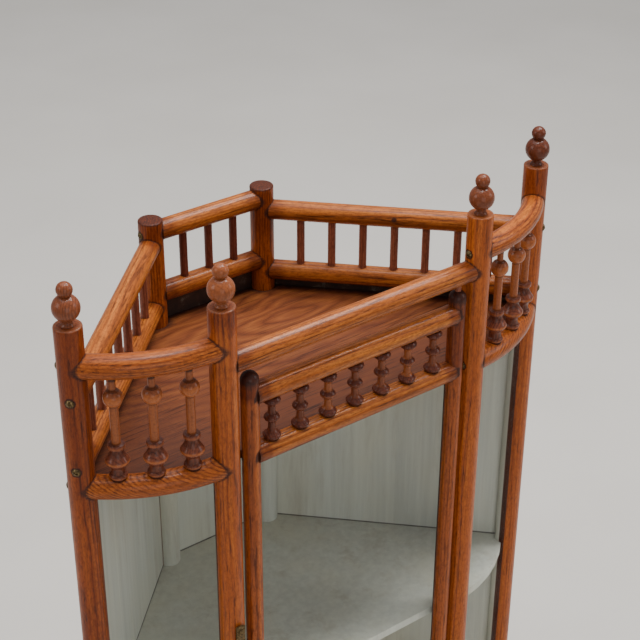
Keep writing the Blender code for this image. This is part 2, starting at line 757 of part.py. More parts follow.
def frame_hole_cutter():
    """The holes for the sticks, balusters, finials, pivots and the turn button's screw."""
    bm = bmesh.new()
    gallery_holes(bm)
    pivot_holes(bm)
    shank = rod_profile(SCREW_SHANK_D / 2 + HOLE_SLACK, -SCREW_BITE - GAP, POST_R)
    add_turned(bm, shank, BALUSTER_SIDES, pointing(button_seat(), (0, -1, 0)))
    return add_cutter("cut_frame_holes", finish_mesh(bm, "cut_frame_holes"))


def door_hole_cutter():
    """The holes for the spindles, pivots and knob of the door."""
    bm = bmesh.new()
    for profile in spindle_socket(*spindle_span()):
        for point in spindle_points():
            add_turned(bm, profile, SPINDLE_SIDES, upright(point))
    pivot_holes(bm)
    knob = Vector((-STILE_X, DOOR_Y, KNOB_Z))
    add_turned(bm, knob_socket(), BALUSTER_SIDES, pointing(knob, (0, -1, 0)))
    return add_cutter("cut_door_holes", finish_mesh(bm, "cut_door_holes"))


def add_cutters():
    """All the cutters, by what they make."""
    return {"rail_ends": frame_rail_end_cutter(), "mortises": mortise_cutter(),
            "door_rail_ends": door_rail_end_cutter(), "door_mortises": door_mortise_cutter(),
            "notches": cylinder_cutter("cut_notches", POSTS.values(), POST_CORE + GAP, POST_SIDES),
            "housings": housing_cutter(), "rebates": rebate_cutter(), "grooves": glass_cutter(),
            "holes": frame_hole_cutter(), "door_holes": door_hole_cutter()}


# Frame

def finial_posts():
    """The posts that carry a finial."""
    return [name for name in POSTS if not name.startswith("back")]


def add_posts(cutters):
    """The six posts, with the back pair shorter, and the finials of the other four."""
    finial = turned_mesh("finial", finial_profile(), FINIAL_SIDES)
    for name, point in POSTS.items():
        back = name.startswith("back")
        height = POST_HEIGHT - (BACK_POST_DROP if back else 0)
        mesh = turned_mesh(f"post_{name}", post_profile(height), POST_SIDES)
        post = add_object(f"post_{name}", mesh, oak(), point)
        cut(post, cutters["mortises"])
        if not name.startswith("front"):
            cut(post, cutters["rebates"])
        cut(post, cutters["housings"])
        if not back:
            cut(post, cutters["grooves"], cutters["holes"])
    for name in finial_posts():
        top = POSTS[name] + Vector((0, 0, POST_HEIGHT))
        add_object(f"finial_{name}", finial, turned_wood(), top)


def add_straight_rails(cutters):
    """Rails between two posts, hollowed at their ends, and the sticks of the side galleries."""
    for name, (start, end, height) in straight_rails().items():
        span = POSTS[end] - POSTS[start]
        profile = rod_profile(RAIL_R, -span.length / 2, span.length / 2)
        mesh = turned_mesh(name, profile, RAIL_SIDES, [LYING])
        middle = (POSTS[start] + POSTS[end]) / 2 + Vector((0, 0, height))
        rail = add_object(name, mesh, oak(), middle, along_angle(span))
        cut(rail, cutters["rail_ends"])
        if name.startswith("side_gallery"):
            combine(rail, wall_sticks(name.removeprefix("side_gallery_")), "UNION")
        else:
            cut(rail, cutters["holes"])


def wall_sticks(wall):
    """The sticks of a back side as one body each, to be joined to their lower rail."""
    profile = rod_profile(STICK_D / 2, *stick_span(wall))
    places = [upright(point) for point in stick_places(wall)]
    return add_cutter(f"sticks_{wall}", turned_mesh(f"sticks_{wall}", profile, STICK_SIDES, places))


def add_bow_rails(cutters):
    """Bowed rails, bent to the arc between a front post and an outer post."""
    turn = math.tau / RAIL_SIDES
    for side, sign in SIDES.items():
        for level, height in bow_rail_heights().items():
            start = bow_point(side, 0)
            angles = [FACET_TURN + turn * i for i in range(RAIL_SIDES)]
            ring = [start + BOW_RAIL_R * Vector((0, math.cos(a), math.sin(a))) for a in angles]
            name = f"bow_rail_{level}_{side}"
            mesh = swept_mesh(name, [(ring, bow_centre(side), sign)], BOW_ANGLE)
            rail = add_object(name, mesh, oak(), (0, 0, height))
            if level != "top":
                cut(rail, cutters["grooves"])
            cut(rail, cutters["rail_ends"])
            if level != "bottom":
                cut(rail, cutters["holes"])


def board_outline(front, inset, grow):
    """A board in plan: the front edge's setback, the inset of the bowed edges, the growth behind."""
    outline = [Vector((FRONT_HALF, FRONT_Y + front, 0))]
    for i in range(BOW_STEPS + 1):
        outline.append(bow_point("right", BOW_ANGLE * i / BOW_STEPS, BOW_RADIUS - inset))
    edge = PANEL_INNER - GAP + grow
    _, _, _, wall = wall_frame("right")
    _, _, _, back = wall_frame("centre")
    outline.append(POSTS["outer_right"] + edge * wall)
    corner = (wall + back) / (1 + wall.dot(back))
    outline.append(POSTS["back_right"] + edge * corner)
    mirrored = [Vector((-point.x, point.y, 0)) for point in reversed(outline)]
    return outline + mirrored


def board_shapes():
    """Height of each board's upper face, setback of its front edge, inset of its bowed edges."""
    door_stop = DOOR_RAIL_R - DOOR_FORWARD + DOOR_STOP_GAP
    by_rail = BOW_RAIL_R + GAP
    by_glass = GLASS_T / 2 + SHELF_GLASS_GAP
    return {"top_board": (TOP_BOARD_Z, door_stop, by_rail),
            "shelf": (SHELF_Z, door_stop, by_glass),
            "bottom_board": (BOTTOM_BOARD_HEIGHT, RAIL_R + GAP, by_rail)}


def add_boards(cutters):
    """The top board, the shelf and the bottom board, let into slots in the posts."""
    for name, (height, front, inset) in board_shapes().items():
        mesh = plate_mesh(name, board_outline(front, inset, 0), BOARD_T)
        material = board_wood() if name == "top_board" else painted_wood()
        board = add_object(name, mesh, material, (0, 0, height))
        cut(board, cutters["notches"])


def panel_span(wall):
    """Foot and top of a back panel, which ends against the gallery's lower rail."""
    drop = BACK_LOW_DROP if wall == "centre" else SIDE_LOW_DROP
    return PANEL_FOOT, POST_HEIGHT - drop - math.sqrt(RAIL_R ** 2 - PANEL_INNER ** 2) - GAP


def add_panels():
    """The three back panels, let into the posts from behind."""
    for wall in WALLS:
        middle, length, along, outward = wall_frame(wall)
        low, high = panel_span(wall)
        centre = middle + outward * (PANEL_INNER + PANEL_T / 2)
        centre.z = (low + high) / 2
        mesh = box_mesh(f"back_panel_{wall}", (length - 2 * PANEL_END, PANEL_T, high - low))
        add_object(f"back_panel_{wall}", mesh, painted_wood(), centre, along_angle(along))


def add_gallery():
    """The loose sticks of the back and the balusters of the bowed sides."""
    low, high = stick_span("centre")
    stick = turned_mesh("back_stick", rod_profile(STICK_D / 2, low, high), STICK_SIDES)
    for number, point in enumerate(stick_places("centre"), 1):
        add_object(f"back_stick_{number}", stick, turned_wood(), point, FACET_TURN)
    baluster = turned_mesh("baluster", baluster_profile(*baluster_span()), BALUSTER_SIDES)
    for side in SIDES:
        for number, point in enumerate(baluster_points(side), 1):
            add_object(f"baluster_{side}_{number}", baluster, turned_wood(), point, FACET_TURN)


def add_bow_glass():
    """The bent panes of the two bowed sides."""
    for side in SIDES:
        name = f"bow_glass_{side}"
        add_object(name, bow_glass_mesh(name, [side], 0), clear_glass())


# Door

def add_door_frame(cutters, axis):
    """The stiles and rails of the door."""
    for side, sign in SIDES.items():
        mesh = turned_mesh(f"door_stile_{side}", stile_profile(), DOOR_SIDES)
        place = (sign * STILE_X, DOOR_Y, 0)
        stile = add_object(f"door_stile_{side}", mesh, oak(), place, parent=axis)
        cut(stile, cutters["door_mortises"], cutters["grooves"], cutters["door_holes"])
    reach = STILE_X - DOOR_R + DOOR_TENON_SEAT
    for level, height in DOOR_RAILS.items():
        name = f"door_rail_{level}"
        mesh = turned_mesh(name, rod_profile(DOOR_RAIL_R, -reach, reach), DOOR_SIDES, [LYING])
        rail = add_object(name, mesh, oak(), (0, DOOR_Y, height), parent=axis)
        if level != "top":
            cut(rail, cutters["grooves"])
        cut(rail, cutters["door_rail_ends"])
        if level != "bottom":
            cut(rail, cutters["door_holes"])


def add_door_fittings(axis):
    """The spindles, pane and knob of the door."""
    spindle = turned_mesh("door_spindle", spindle_profile(*spindle_span()), SPINDLE_SIDES)
    for number, point in enumerate(spindle_points(), 1):
        add_object(f"door_spindle_{number}", spindle, turned_wood(), point, FACET_TURN, axis)
    size, centre = door_glass_size(0)
    add_object("door_glass", box_mesh("door_glass", size), clear_glass(), centre, parent=axis)
    seat = Vector((-STILE_X, DOOR_Y, KNOB_Z))
    knob = turned_mesh("door_knob", knob_profile(), BALUSTER_SIDES,
                       [pointing(Vector(), (0, -1, 0))])
    add_object("door_knob", knob, turned_wood(), seat, parent=axis)


def collar_foot():
    """Underside of the collar that carries the door."""
    return DOOR_FOOT - GAP - COLLAR_T


def add_pivots():
    """The two pins that the door turns on, and the collar that carries its weight."""
    for place, (low, high) in pivot_pins().items():
        name = f"pivot_pin_{place}"
        mesh = turned_mesh(name, rod_profile(PIVOT_D / 2, low, high), PIVOT_SIDES)
        add_object(name, mesh, turned_wood(), pivot_point(), FACET_TURN)
    bore = PIVOT_D / 2 + PIVOT_SLACK
    low = collar_foot()
    ring = [(bore, low), (COLLAR_D / 2, low), (COLLAR_D / 2, low + COLLAR_T), (bore, low + COLLAR_T),
            (bore, low)]
    bm = bmesh.new()
    add_turned(bm, ring, PIVOT_SIDES, Matrix())
    bmesh.ops.remove_doubles(bm, verts=bm.verts[:], dist=1e-6)
    collar = finish_mesh(bm, "pivot_collar")
    add_object("pivot_collar", collar, aged_brass(), pivot_point(), FACET_TURN)


def add_turn_button():
    """The button that holds the door shut, and its screw; it hangs down when the door is free."""
    seat = button_seat()
    axis = add_axis("turn_button_axis", seat)
    bore = rod_profile(SCREW_SHANK_D / 2 + PIVOT_SLACK, -BUTTON_T, 2 * BUTTON_T)
    cutter = turned_mesh("cut_button", bore, PIVOT_SIDES, [pointing(seat, (0, -1, 0))])
    size = (BUTTON_WIDTH, BUTTON_T, BUTTON_LENGTH)
    middle = seat + Vector((0, -BUTTON_T / 2, BUTTON_PIVOT - BUTTON_LENGTH / 2))
    button = add_object("turn_button", box_mesh("turn_button", size), aged_brass(), middle, parent=axis)
    rounding = button.modifiers.new("rounding", "BEVEL")
    rounding.width = BUTTON_EDGE
    rounding.segments = 1
    cut(button, add_cutter("cut_button", cutter))
    screw = turned_mesh("turn_button_screw", button_screw_profile(), PIVOT_SIDES // 2,
                        [pointing(Vector(), (0, -1, 0))])
    add_object("turn_button_screw", screw, aged_brass(), seat)


def add_door(cutters):
    """The whole door, with everything that turns on its pivots under one empty."""
    axis = add_axis("door_axis", pivot_point())
    add_door_frame(cutters, axis)
    add_door_fittings(axis)
    add_pivots()
    add_turn_button()


def build():
    """The whole cabinet."""
    for old in list(bpy.data.objects):
        bpy.data.objects.remove(old, do_unlink=True)
    cutters = add_cutters()
    add_posts(cutters)
    add_straight_rails(cutters)
    add_bow_rails(cutters)
    add_boards(cutters)
    add_panels()
    add_gallery()
    add_bow_glass()
    add_door(cutters)


build()
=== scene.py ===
"""Looks of the corner cabinet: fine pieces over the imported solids, materials, light and camera."""
import math
import random

import bmesh
import bpy
from mathutils import Matrix, Vector


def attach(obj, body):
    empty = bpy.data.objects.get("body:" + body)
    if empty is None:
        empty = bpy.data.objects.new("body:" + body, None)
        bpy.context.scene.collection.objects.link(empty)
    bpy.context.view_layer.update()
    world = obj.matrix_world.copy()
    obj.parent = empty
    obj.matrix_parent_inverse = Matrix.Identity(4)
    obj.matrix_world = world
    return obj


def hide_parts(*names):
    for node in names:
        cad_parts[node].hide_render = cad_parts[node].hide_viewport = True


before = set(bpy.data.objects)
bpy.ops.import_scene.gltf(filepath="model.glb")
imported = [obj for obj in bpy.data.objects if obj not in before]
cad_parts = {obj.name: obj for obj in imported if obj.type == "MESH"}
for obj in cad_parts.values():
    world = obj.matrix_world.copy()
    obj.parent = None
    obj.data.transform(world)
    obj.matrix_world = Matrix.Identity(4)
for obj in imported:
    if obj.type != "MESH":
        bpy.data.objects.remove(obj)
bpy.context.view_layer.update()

# The cabinet's own measures, in metres
FRONT_HALF = 0.1489
BOW_RADIUS = 0.1715
BOW_ANGLE = math.radians(45)
WALL_LENGTH = 0.285
POST_R = 0.0127
POST_HEIGHT = 0.830
BACK_POST_DROP = 0.0437
RAIL_R = 0.0108
BOW_RAIL_R = 0.01145
DOOR_R = 0.00875
DOOR_RAIL_R = 0.0106
DOOR_FORWARD = 0.002
STILE_X = 0.12315
KNOB_LENGTH = 0.016
KNOB_RISE = 0.050
BOARD_T = 0.009
TOP_BOARD_Z = POST_HEIGHT - 0.1651
BOTTOM_BOARD_Z = 0.0323
SHELF_Z = (TOP_BOARD_Z + BOTTOM_BOARD_Z) / 2
PANEL_INNER = 0.0048
GLASS_T = 0.003
GLASS_EDGE = 0.004
GLASS_INNER = -0.0018  # the inner face of a pane, from a post's axis
PAINT_EDGE = -0.0078  # the paint on an outer post begins here, from its axis
FRONT_REACH = DOOR_FORWARD + DOOR_R + KNOB_LENGTH
BACK_DEPTH = BOW_RADIUS * (1 - math.cos(BOW_ANGLE)) + WALL_LENGTH * math.cos(BOW_ANGLE)
FRONT_Y = (FRONT_REACH - BACK_DEPTH - POST_R) / 2
DOOR_Y = FRONT_Y - DOOR_FORWARD
BOW_LEVELS = {"top": POST_HEIGHT - 0.0404, "lower": TOP_BOARD_Z - 0.0015,
              "bottom": BOTTOM_BOARD_Z - 0.0015}
FRONT_LEVELS = {"top": POST_HEIGHT - 0.0597, "bottom": BOTTOM_BOARD_Z - 0.0015}
SIDE_LEVELS = {"top": POST_HEIGHT - 0.0715, "lower": POST_HEIGHT - 0.1436}
BACK_LEVELS = {"top": POST_HEIGHT - 0.0582, "lower": POST_HEIGHT - 0.1299}
DOOR_TOP = FRONT_LEVELS["top"] - math.sqrt(RAIL_R ** 2 - DOOR_FORWARD ** 2) - 0.0042
DOOR_FOOT = FRONT_LEVELS["bottom"] + RAIL_R + 0.0008
DOOR_LEVELS = {"top": POST_HEIGHT - 0.1000, "middle": TOP_BOARD_Z, "bottom": DOOR_FOOT + 0.0158}
STICK_R = 0.0043
STICKS = {"left": (7, 0.0335), "centre": (3, 0.031), "right": (7, 0.0335)}  # count and pitch
BALUSTERS = 3  # on each bowed side
BALUSTER_LEVELS = (BOW_LEVELS["lower"] + BOW_RAIL_R, BOW_LEVELS["top"] - BOW_RAIL_R)
BALL_DROP = 0.0195  # from a baluster's top to the middle of its ball
SPINDLES = 7
SPINDLE_ENDS = (-0.0996, 0.0938)
SPINDLE_LEVELS = (DOOR_LEVELS["middle"] + DOOR_RAIL_R, DOOR_LEVELS["top"] - DOOR_RAIL_R)
CREASE = 38  # edges sharper than this stay sharp, in degrees
KNOT = Vector((0.1619, 0.0246, 0.7606))
SLOT_HALF = 0.00045  # half the width of a screw's slot
SLOT_WALL = 0.00008  # the width of the slope at each side of it
SLOT_FLOOR = 0.0009  # its floor, above the post's face
SLOT_TURN = 2.1  # from one screw's slot to the next, in radians
BOW_MARGIN = 0.035  # from a post's axis to a bowed rail's end, in radians
BOW_STEPS, BOW_SIDES = 70, 36
BOW_LEAN = math.radians(27)  # of the grain in the lower bowed rails
BOARD_GRID = 0.008
TIP = 1e-9  # a turned body closes in one point below this radius
FLOOR_HALF = 12
CAMERA_PLACE = (-0.76785, FRONT_Y - 0.9592, POST_HEIGHT + 0.65693)
CAMERA_TURN = (37.072, 30.494, 0.267)  # yaw, pitch and roll, in degrees
CAMERA_LENS = 86.45
# Values kept on each vertex: grime with painted shade, wear with painted highlights, stain and paint
MARKS = ("dirt", "worn", "stain", "painted")
SIGN = {"left": -1, "right": 1}
UP = Vector((0, 0, 1))

# Looks
WAVE = math.tau / 20  # a Wave texture of this scale has bands one metre apart
SAGE = (0.560, 0.580, 0.508)
YELLOWED = (1.04 * SAGE[0], 0.98 * SAGE[1], 0.86 * SAGE[2])
SCUFF = (0.380, 0.350, 0.270)
MAHOGANY = (0.52, 0.42, 0.46)
# Near-black of grime, also used as painted shade in joints, creases and behind the glass
GRIME_AND_SHADE = (0.030, 0.0115, 0.0095)
PALE_WEAR = (0.25, 0.110, 0.060)
# Orange wear of the turnings; on the balusters' ridges it also paints in highlights
ORANGE_WEAR_AND_HIGHLIGHT = (0.47, 0.135, 0.034)
# Painted shade over the front of the top board, under the front rail
BOARD_FRONT_SHADE = (0.48, 0.465, 0.49)
LOOP = (0.057, 0.066)  # where the board's rings close, in plan
PITH_REACH = (0.016, 0.040)  # from a piece's axis to the middle of its rings
PITH_SHIFT = 2  # along them, either way, so that no two pieces look the same
POST_STAIN = {  # at the top, down to this depth, and below it
    "outer_left": (0.65, 0.160, 0.42), "front_left": (0.60, 0.022, 0.10),
    "front_right": (0.05, 0.020, 0.0), "outer_right": (0.42, 0.035, 0.04),
    "back_left": (0.85, 0.020, 0.22), "back_right": (0.90, 0.050, 0.16),
}
STILE_STAIN = {"left": (0.014, 0.0), "right": (0.075, 0.15)}  # down to this depth, and below it
FINIAL_STAIN = {"outer_left": 0.1, "front_left": 0.0, "front_right": 0.35, "outer_right": 0.7}
FINIAL_WEAR = {"outer_left": 0.18, "front_left": 0.40, "front_right": 0.20, "outer_right": 0.10}
STICK_STAIN = {"left": 0.25, "centre": 0.60, "right": 0.05}
BOW_SHADE = 0.46  # painted shade on the top board, toward the left bow
RIM_WEAR, TOP_WEAR = 0.55, 0.15
RIM_R = 0.0085  # where a post's rim begins

# Grime and painted crevice shade at the joints: the radius that is fully dark, and the width of its
# fade
KNOT_SPOT = (0.0010, 0.0038)
STICK_SPOT = (0.0037, 0.0018)
BALUSTER_SPOTS = ((0.0060, 0.0032), (0.0028, 0.0024))  # foot and top
SPINDLE_SPOTS = ((0.0056, 0.0034), (0.0050, 0.0030))
STILE_SPOT = (0.0101, 0.0014)
FINIAL_SPOT = (0.0040, 0.0024)
SCREW_SPOT = (0.0044, 0.0020)
SPOT_REACH = 0.02  # no spot reaches further than this
# Grime and painted crevice shade where rails meet posts: strength, gap and fade
CONTACT_GRIME_AND_SHADE, CONTACT_GAP, CONTACT_FADE = 0.75, 0.0003, 0.0023

rng = random.Random(7)


# Plan

def plan_posts():
    """Axes of the posts in plan."""
    posts = {}
    for side, sign in SIGN.items():
        front = Vector((sign * FRONT_HALF, FRONT_Y, 0))
        bow = Vector((sign * math.sin(BOW_ANGLE), 1 - math.cos(BOW_ANGLE), 0))
        outer = front + BOW_RADIUS * bow
        back = outer + WALL_LENGTH * Vector((-sign * math.sin(BOW_ANGLE), math.cos(BOW_ANGLE), 0))
        posts[f"front_{side}"] = front
        posts[f"outer_{side}"] = outer
        posts[f"back_{side}"] = back
    return posts


POSTS = plan_posts()
WALLS = {"left": ("outer_left", "back_left"), "centre": ("back_left", "back_right"),
         "right": ("back_right", "outer_right")}


def bow_point(side, angle, radius=BOW_RADIUS):
    """Point of a bowed side in plan."""
    centre = Vector((SIGN[side] * FRONT_HALF, FRONT_Y + BOW_RADIUS, 0))
    return centre + radius * Vector((SIGN[side] * math.sin(angle), -math.cos(angle), 0))


def at_height(point, height):
    """A plan point lifted to a height."""
    return Vector((point.x, point.y, height))


# Joints, where grime gathers and painted crevice shade is put

def straight_rails():
    """Name, both posts and height of each straight rail."""
    rails = [(f"front_rail_{level}", "front_left", "front_right", height)
             for level, height in FRONT_LEVELS.items()]
    rails += [(f"back_rail_{level}", "back_left", "back_right", height)
              for level, height in BACK_LEVELS.items()]
    for side in SIGN:
        posts = f"outer_{side}", f"back_{side}"
        rails += [(f"side_rail_top_{side}", *posts, SIDE_LEVELS["top"]),
                  (f"side_gallery_{side}", *posts, SIDE_LEVELS["lower"])]
    return rails


def rail_ends():
    """Post, direction away from it, height and radius for each end of each rail."""
    ends = []
    for _, start, end, height in straight_rails():
        along = (POSTS[end] - POSTS[start]).normalized()
        ends += [(start, along, height, RAIL_R), (end, -along, height, RAIL_R)]
    for side, sign in SIGN.items():
        arrival = Vector((-sign * math.cos(BOW_ANGLE), -math.sin(BOW_ANGLE), 0))
        for height in BOW_LEVELS.values():
            ends += [(f"front_{side}", Vector((sign, 0, 0)), height, BOW_RAIL_R),
                     (f"outer_{side}", arrival, height, BOW_RAIL_R)]
    return ends


def stick_points():
    """Foot and top of every plain stick, by wall."""
    sticks = {}
    for wall, (start, end) in WALLS.items():
        middle = (POSTS[start] + POSTS[end]) / 2
        along = (POSTS[end] - POSTS[start]).normalized()
        count, pitch = STICKS[wall]
        levels = BACK_LEVELS if wall == "centre" else SIDE_LEVELS
        low, high = levels["lower"] + RAIL_R, levels["top"] - RAIL_R
        sticks[wall] = [(middle + along * pitch * (i - (count - 1) / 2), low, high)
                        for i in range(count)]
    return sticks


def baluster_points(side):
    """Axes of a bowed side's balusters in plan."""
    return [bow_point(side, BOW_ANGLE * (i + 1) / (BALUSTERS + 1)) for i in range(BALUSTERS)]


def spindle_points():
    """Axes of the door's spindles in plan."""
    first, last = SPINDLE_ENDS
    return [Vector((first + (last - first) * i / (SPINDLES - 1), DOOR_Y, 0))
            for i in range(SPINDLES)]


def screw_places():
    """Number, point on the post's face and outward direction of each screw."""
    places = []
    for number, (post, along, height, radius) in enumerate(rail_ends(), 1):
        front_rail = post.startswith("front") and radius == RAIL_R
        low_bow = post.startswith("front") and height == BOW_LEVELS["bottom"]
        side_rail_back = post.startswith("back") and abs(along.x) < 0.9
        if not (front_rail or low_bow or side_rail_back):
            face = POSTS[post] - along * (POST_R - 0.0002)
            places.append((number, at_height(face, height), -along))
    return places


def joint_spots():
    """Every joint as (point, dark radius, fade)."""
    spots = [(KNOT, *KNOT_SPOT)]
    for sticks in stick_points().values():
        for point, low, high in sticks:
            spots += [(at_height(point, height), *STICK_SPOT) for height in (low, high)]
    turnings = [(point, BALUSTER_LEVELS, BALUSTER_SPOTS)
                for side in SIGN for point in baluster_points(side)]
    turnings += [(point, SPINDLE_LEVELS, SPINDLE_SPOTS) for point in spindle_points()]
    for point, levels, sizes in turnings:
        spots += [(at_height(point, height), *size) for height, size in zip(levels, sizes)]
    spots += [(Vector((sign * (STILE_X - DOOR_R + 0.004), DOOR_Y, height)), *STILE_SPOT)
              for sign in SIGN.values() for height in DOOR_LEVELS.values()]
    spots += [(at_height(point, POST_HEIGHT), *FINIAL_SPOT) for name, point in POSTS.items()
              if not name.startswith("back")]
    return spots + [(point, *SCREW_SPOT) for _, point, _ in screw_places()]


SPOTS = joint_spots()
RAILS_AT = {name: [end[1:] for end in rail_ends() if end[0] == name] for name in POSTS}


# Nodes

def grey(value):
    """A grey as a colour."""
    return (value, value, value)


def scaled(colour, factor):
    """A colour made lighter or darker."""
    return tuple(factor * part for part in colour)


class Look:
    """A material in the making: its node tree and its Principled shader."""

    def __init__(self, name):
        self.material = bpy.data.materials.new(name)
        self.material.use_nodes = True
        self.tree = self.material.node_tree
        self.shader = self.tree.nodes["Principled BSDF"]

    def feed(self, target, inputs):
        """Link or set the inputs of a node. Colours are given without their alpha."""
        for key, value in inputs.items():
            socket = target.inputs[key]
            if isinstance(value, bpy.types.NodeSocket):
                self.tree.links.new(value, socket)
            else:
                socket.default_value = (*value, 1) if socket.type == "RGBA" else value

    def finish(self, inputs):
        """The material, with its shader fed."""
        self.feed(self.shader, inputs)
        return self.material

    def node(self, kind, inputs, **settings):
        """A shader node with its settings and its inputs."""
        made = self.tree.nodes.new(f"ShaderNode{kind}")
        for key, value in settings.items():
            setattr(made, key, value)
        self.feed(made, inputs)
        return made

    def math(self, operation, first, second, clamp=False):
        """The result of a Math node."""
        return self.node("Math", {0: first, 1: second}, operation=operation,
                         use_clamp=clamp).outputs[0]

    def add(self, first, second, clamp=False):
        """The sum of two values."""
        return self.math("ADD", first, second, clamp)

    def less(self, first, second):
        """The first value without the second."""
        return self.math("SUBTRACT", first, second)

    def times(self, first, second):
        """The product of two values."""
        return self.math("MULTIPLY", first, second)

    def ramp(self, factor, stops):
        """A colour ramp over (position, colour) stops."""
        made = self.node("ValToRGB", {"Fac": factor})
        elements = made.color_ramp.elements
        while len(elements) < len(stops):
            elements.new(0.5)
        for element, (position, colour) in zip(elements, stops):
            element.position = position
            element.color = (*colour, 1)
        return made.outputs["Color"]

    def fade(self, factor, low, high, start=0.0, end=1.0):
        """A value that goes from start to end while its factor goes from low to high."""
        return self.ramp(factor, [(low, grey(start)), (high, grey(end))])

    def mix(self, factor, first, second, blend="MIX"):
        """Two colours mixed by a factor."""
        return self.node("Mix", {0: factor, 6: first, 7: second}, data_type="RGBA",
                         blend_type=blend).outputs[2]

    def coords(self):
        """The piece's own coordinates."""
        return self.node("TexCoord", {}).outputs["Object"]

    def stretched(self, scale):
        """The piece's own coordinates, scaled by axis."""
        return self.node("Mapping", {"Vector": self.coords(), "Scale": scale}).outputs[0]

    def noise(self, stretch, scale, detail, roughness):
        """A noise, with coordinates scaled by axis."""
        return self.node("TexNoise", {"Vector": self.stretched(stretch), "Scale": scale,
                                      "Detail": detail, "Roughness": roughness}).outputs["Fac"]

    def rings(self, vector, pitch, drift, axis):
        """Growth rings round an axis, at a pitch in metres and shifted by a drift."""
        feeds = {"Vector": vector, "Scale": WAVE / pitch, "Phase Offset": drift}
        return self.node("TexWave", feeds, wave_type="RINGS", rings_direction=axis,
                         wave_profile="SAW").outputs["Fac"]

    def attribute(self, name):
        """A value stored on the mesh."""
        return self.node("Attribute", {}, attribute_name=name).outputs["Fac"]

    def edged(self, value, field, spread, low, high):
        """A stored value as a mask, with its edge broken up by a noise."""
        return self.fade(self.add(value, self.times(self.less(field, 0.5), spread)), low, high)

    def bump(self, height, strength, distance):
        """Relief from a height."""
        return self.node("Bump", {"Height": height, "Strength": strength,
                                  "Distance": distance}).outputs["Normal"]


# Materials. A noise is given by its stretch, scale, detail and roughness.

def sage(look):
    """Old sage paint: brush streaks and yellowed clouds."""
    streaks = look.noise((1, 1, 0.03), 120, 5.0, 0.7)
    cloud = look.noise((1, 1, 0.4), 11, 4.0, 0.6)
    scuffs = look.noise((1, 1, 0.12), 34, 6.0, 0.75)
    colour = look.mix(look.fade(streaks, 0.35, 0.65), scaled(SAGE, 0.88), scaled(SAGE, 1.06))
    colour = look.mix(look.fade(cloud, 0.40, 0.75, 0.0, 0.8), colour, YELLOWED)
    colour = look.mix(look.fade(scuffs, 0.52, 0.70, 0.0, 0.55), colour, SCUFF)
    return colour, streaks, cloud


def wood(name, tones, ring, wander, stretch=0.10, band=0.09, pores=1.0, rough=0.40, wear=PALE_WEAR,
         painted=False, coat=0.22, blur=0.18):
    """Varnished wood with growth rings about the piece's own Z axis, pores, stains, wear and grime;
    its stored marks also paint shade into joints and creases and highlights onto turned ridges.

    The rings have a pitch, a wander and a dark band, the pores a strength, and the varnish a coat
    with its blur.
    """
    look = Look(name)
    light, middle, dark = tones
    grain = (1, 1, stretch)
    drift = look.times(look.noise(grain, 34, 3.0, 0.5), wander)
    rings = look.rings(look.stretched(grain), ring, drift, "Z")
    colour = look.ramp(rings, [(0.0, dark), (band, middle), (0.45, light), (0.84, middle),
                               (1.0, dark)])
    figure = look.noise(grain, 70, 3.0, 0.6)
    colour = look.mix(look.fade(figure, 0.34, 0.64, 0.85, 0.10), colour, middle)
    fibres = look.noise((1, 1, 0.03), 1500, 2.0, 0.5)
    colour = look.mix(look.fade(fibres, 0.34, 0.56, 0.30, 0.0), colour, dark)

    dashes = look.fade(look.noise((1, 1, 0.085), 600, 2.0, 0.60), 0.38, 0.47, 1.0, 0.0)
    early = look.ramp(rings, [(0.0, grey(1.0)), (0.30, grey(0.35)), (0.85, grey(0.35)),
                              (1.0, grey(1.0))])
    pore_mask = look.times(dashes, early)
    colour = look.mix(look.times(pore_mask, 0.85 * pores), colour, scaled(dark, 0.45))
    specks = look.fade(look.noise((1, 1, 0.35), 520, 4.0, 0.75), 0.40, 0.53, 0.50, 0.0)
    colour = look.mix(specks, colour, dark)

    cloud = look.noise((1, 1, 0.30), 30, 4.0, 0.6)
    jag = look.noise((1, 1, 0.18), 330, 3.0, 0.6)
    stain = look.add(look.attribute("stain"), look.times(cloud, 0.52))
    colour = look.mix(look.edged(stain, jag, 0.55, 0.28, 0.80), colour, MAHOGANY, "MULTIPLY")
    breakup = look.noise((1, 1, 1), 420, 3.0, 0.65)
    # Wear; on the balusters' ridges it also paints in highlights
    worn = look.times(look.attribute("worn"), look.fade(breakup, 0.30, 0.60, 0.45, 1.0))
    colour = look.mix(worn, colour, wear)
    if painted:
        colour = look.mix(look.attribute("painted"), colour, sage(look)[0])
    # Grime, and painted shade in joints, creases and on inner faces behind the glass
    dirt = look.edged(look.attribute("dirt"), breakup, 0.50, 0.30, 0.78)
    colour = look.mix(look.times(dirt, 0.88), colour, GRIME_AND_SHADE)

    shade = look.add(look.times(cloud, 0.24), rough - 0.12)
    relief = look.less(look.times(fibres, 0.4), pore_mask)
    return look.finish({"Base Color": colour, "Specular IOR Level": 0.10,
                        "Roughness": look.add(shade, look.times(dirt, 0.25), clamp=True),
                        "Coat Weight": coat, "Coat Roughness": blur,
                        "Normal": look.bump(relief, 0.55, 0.0004)})


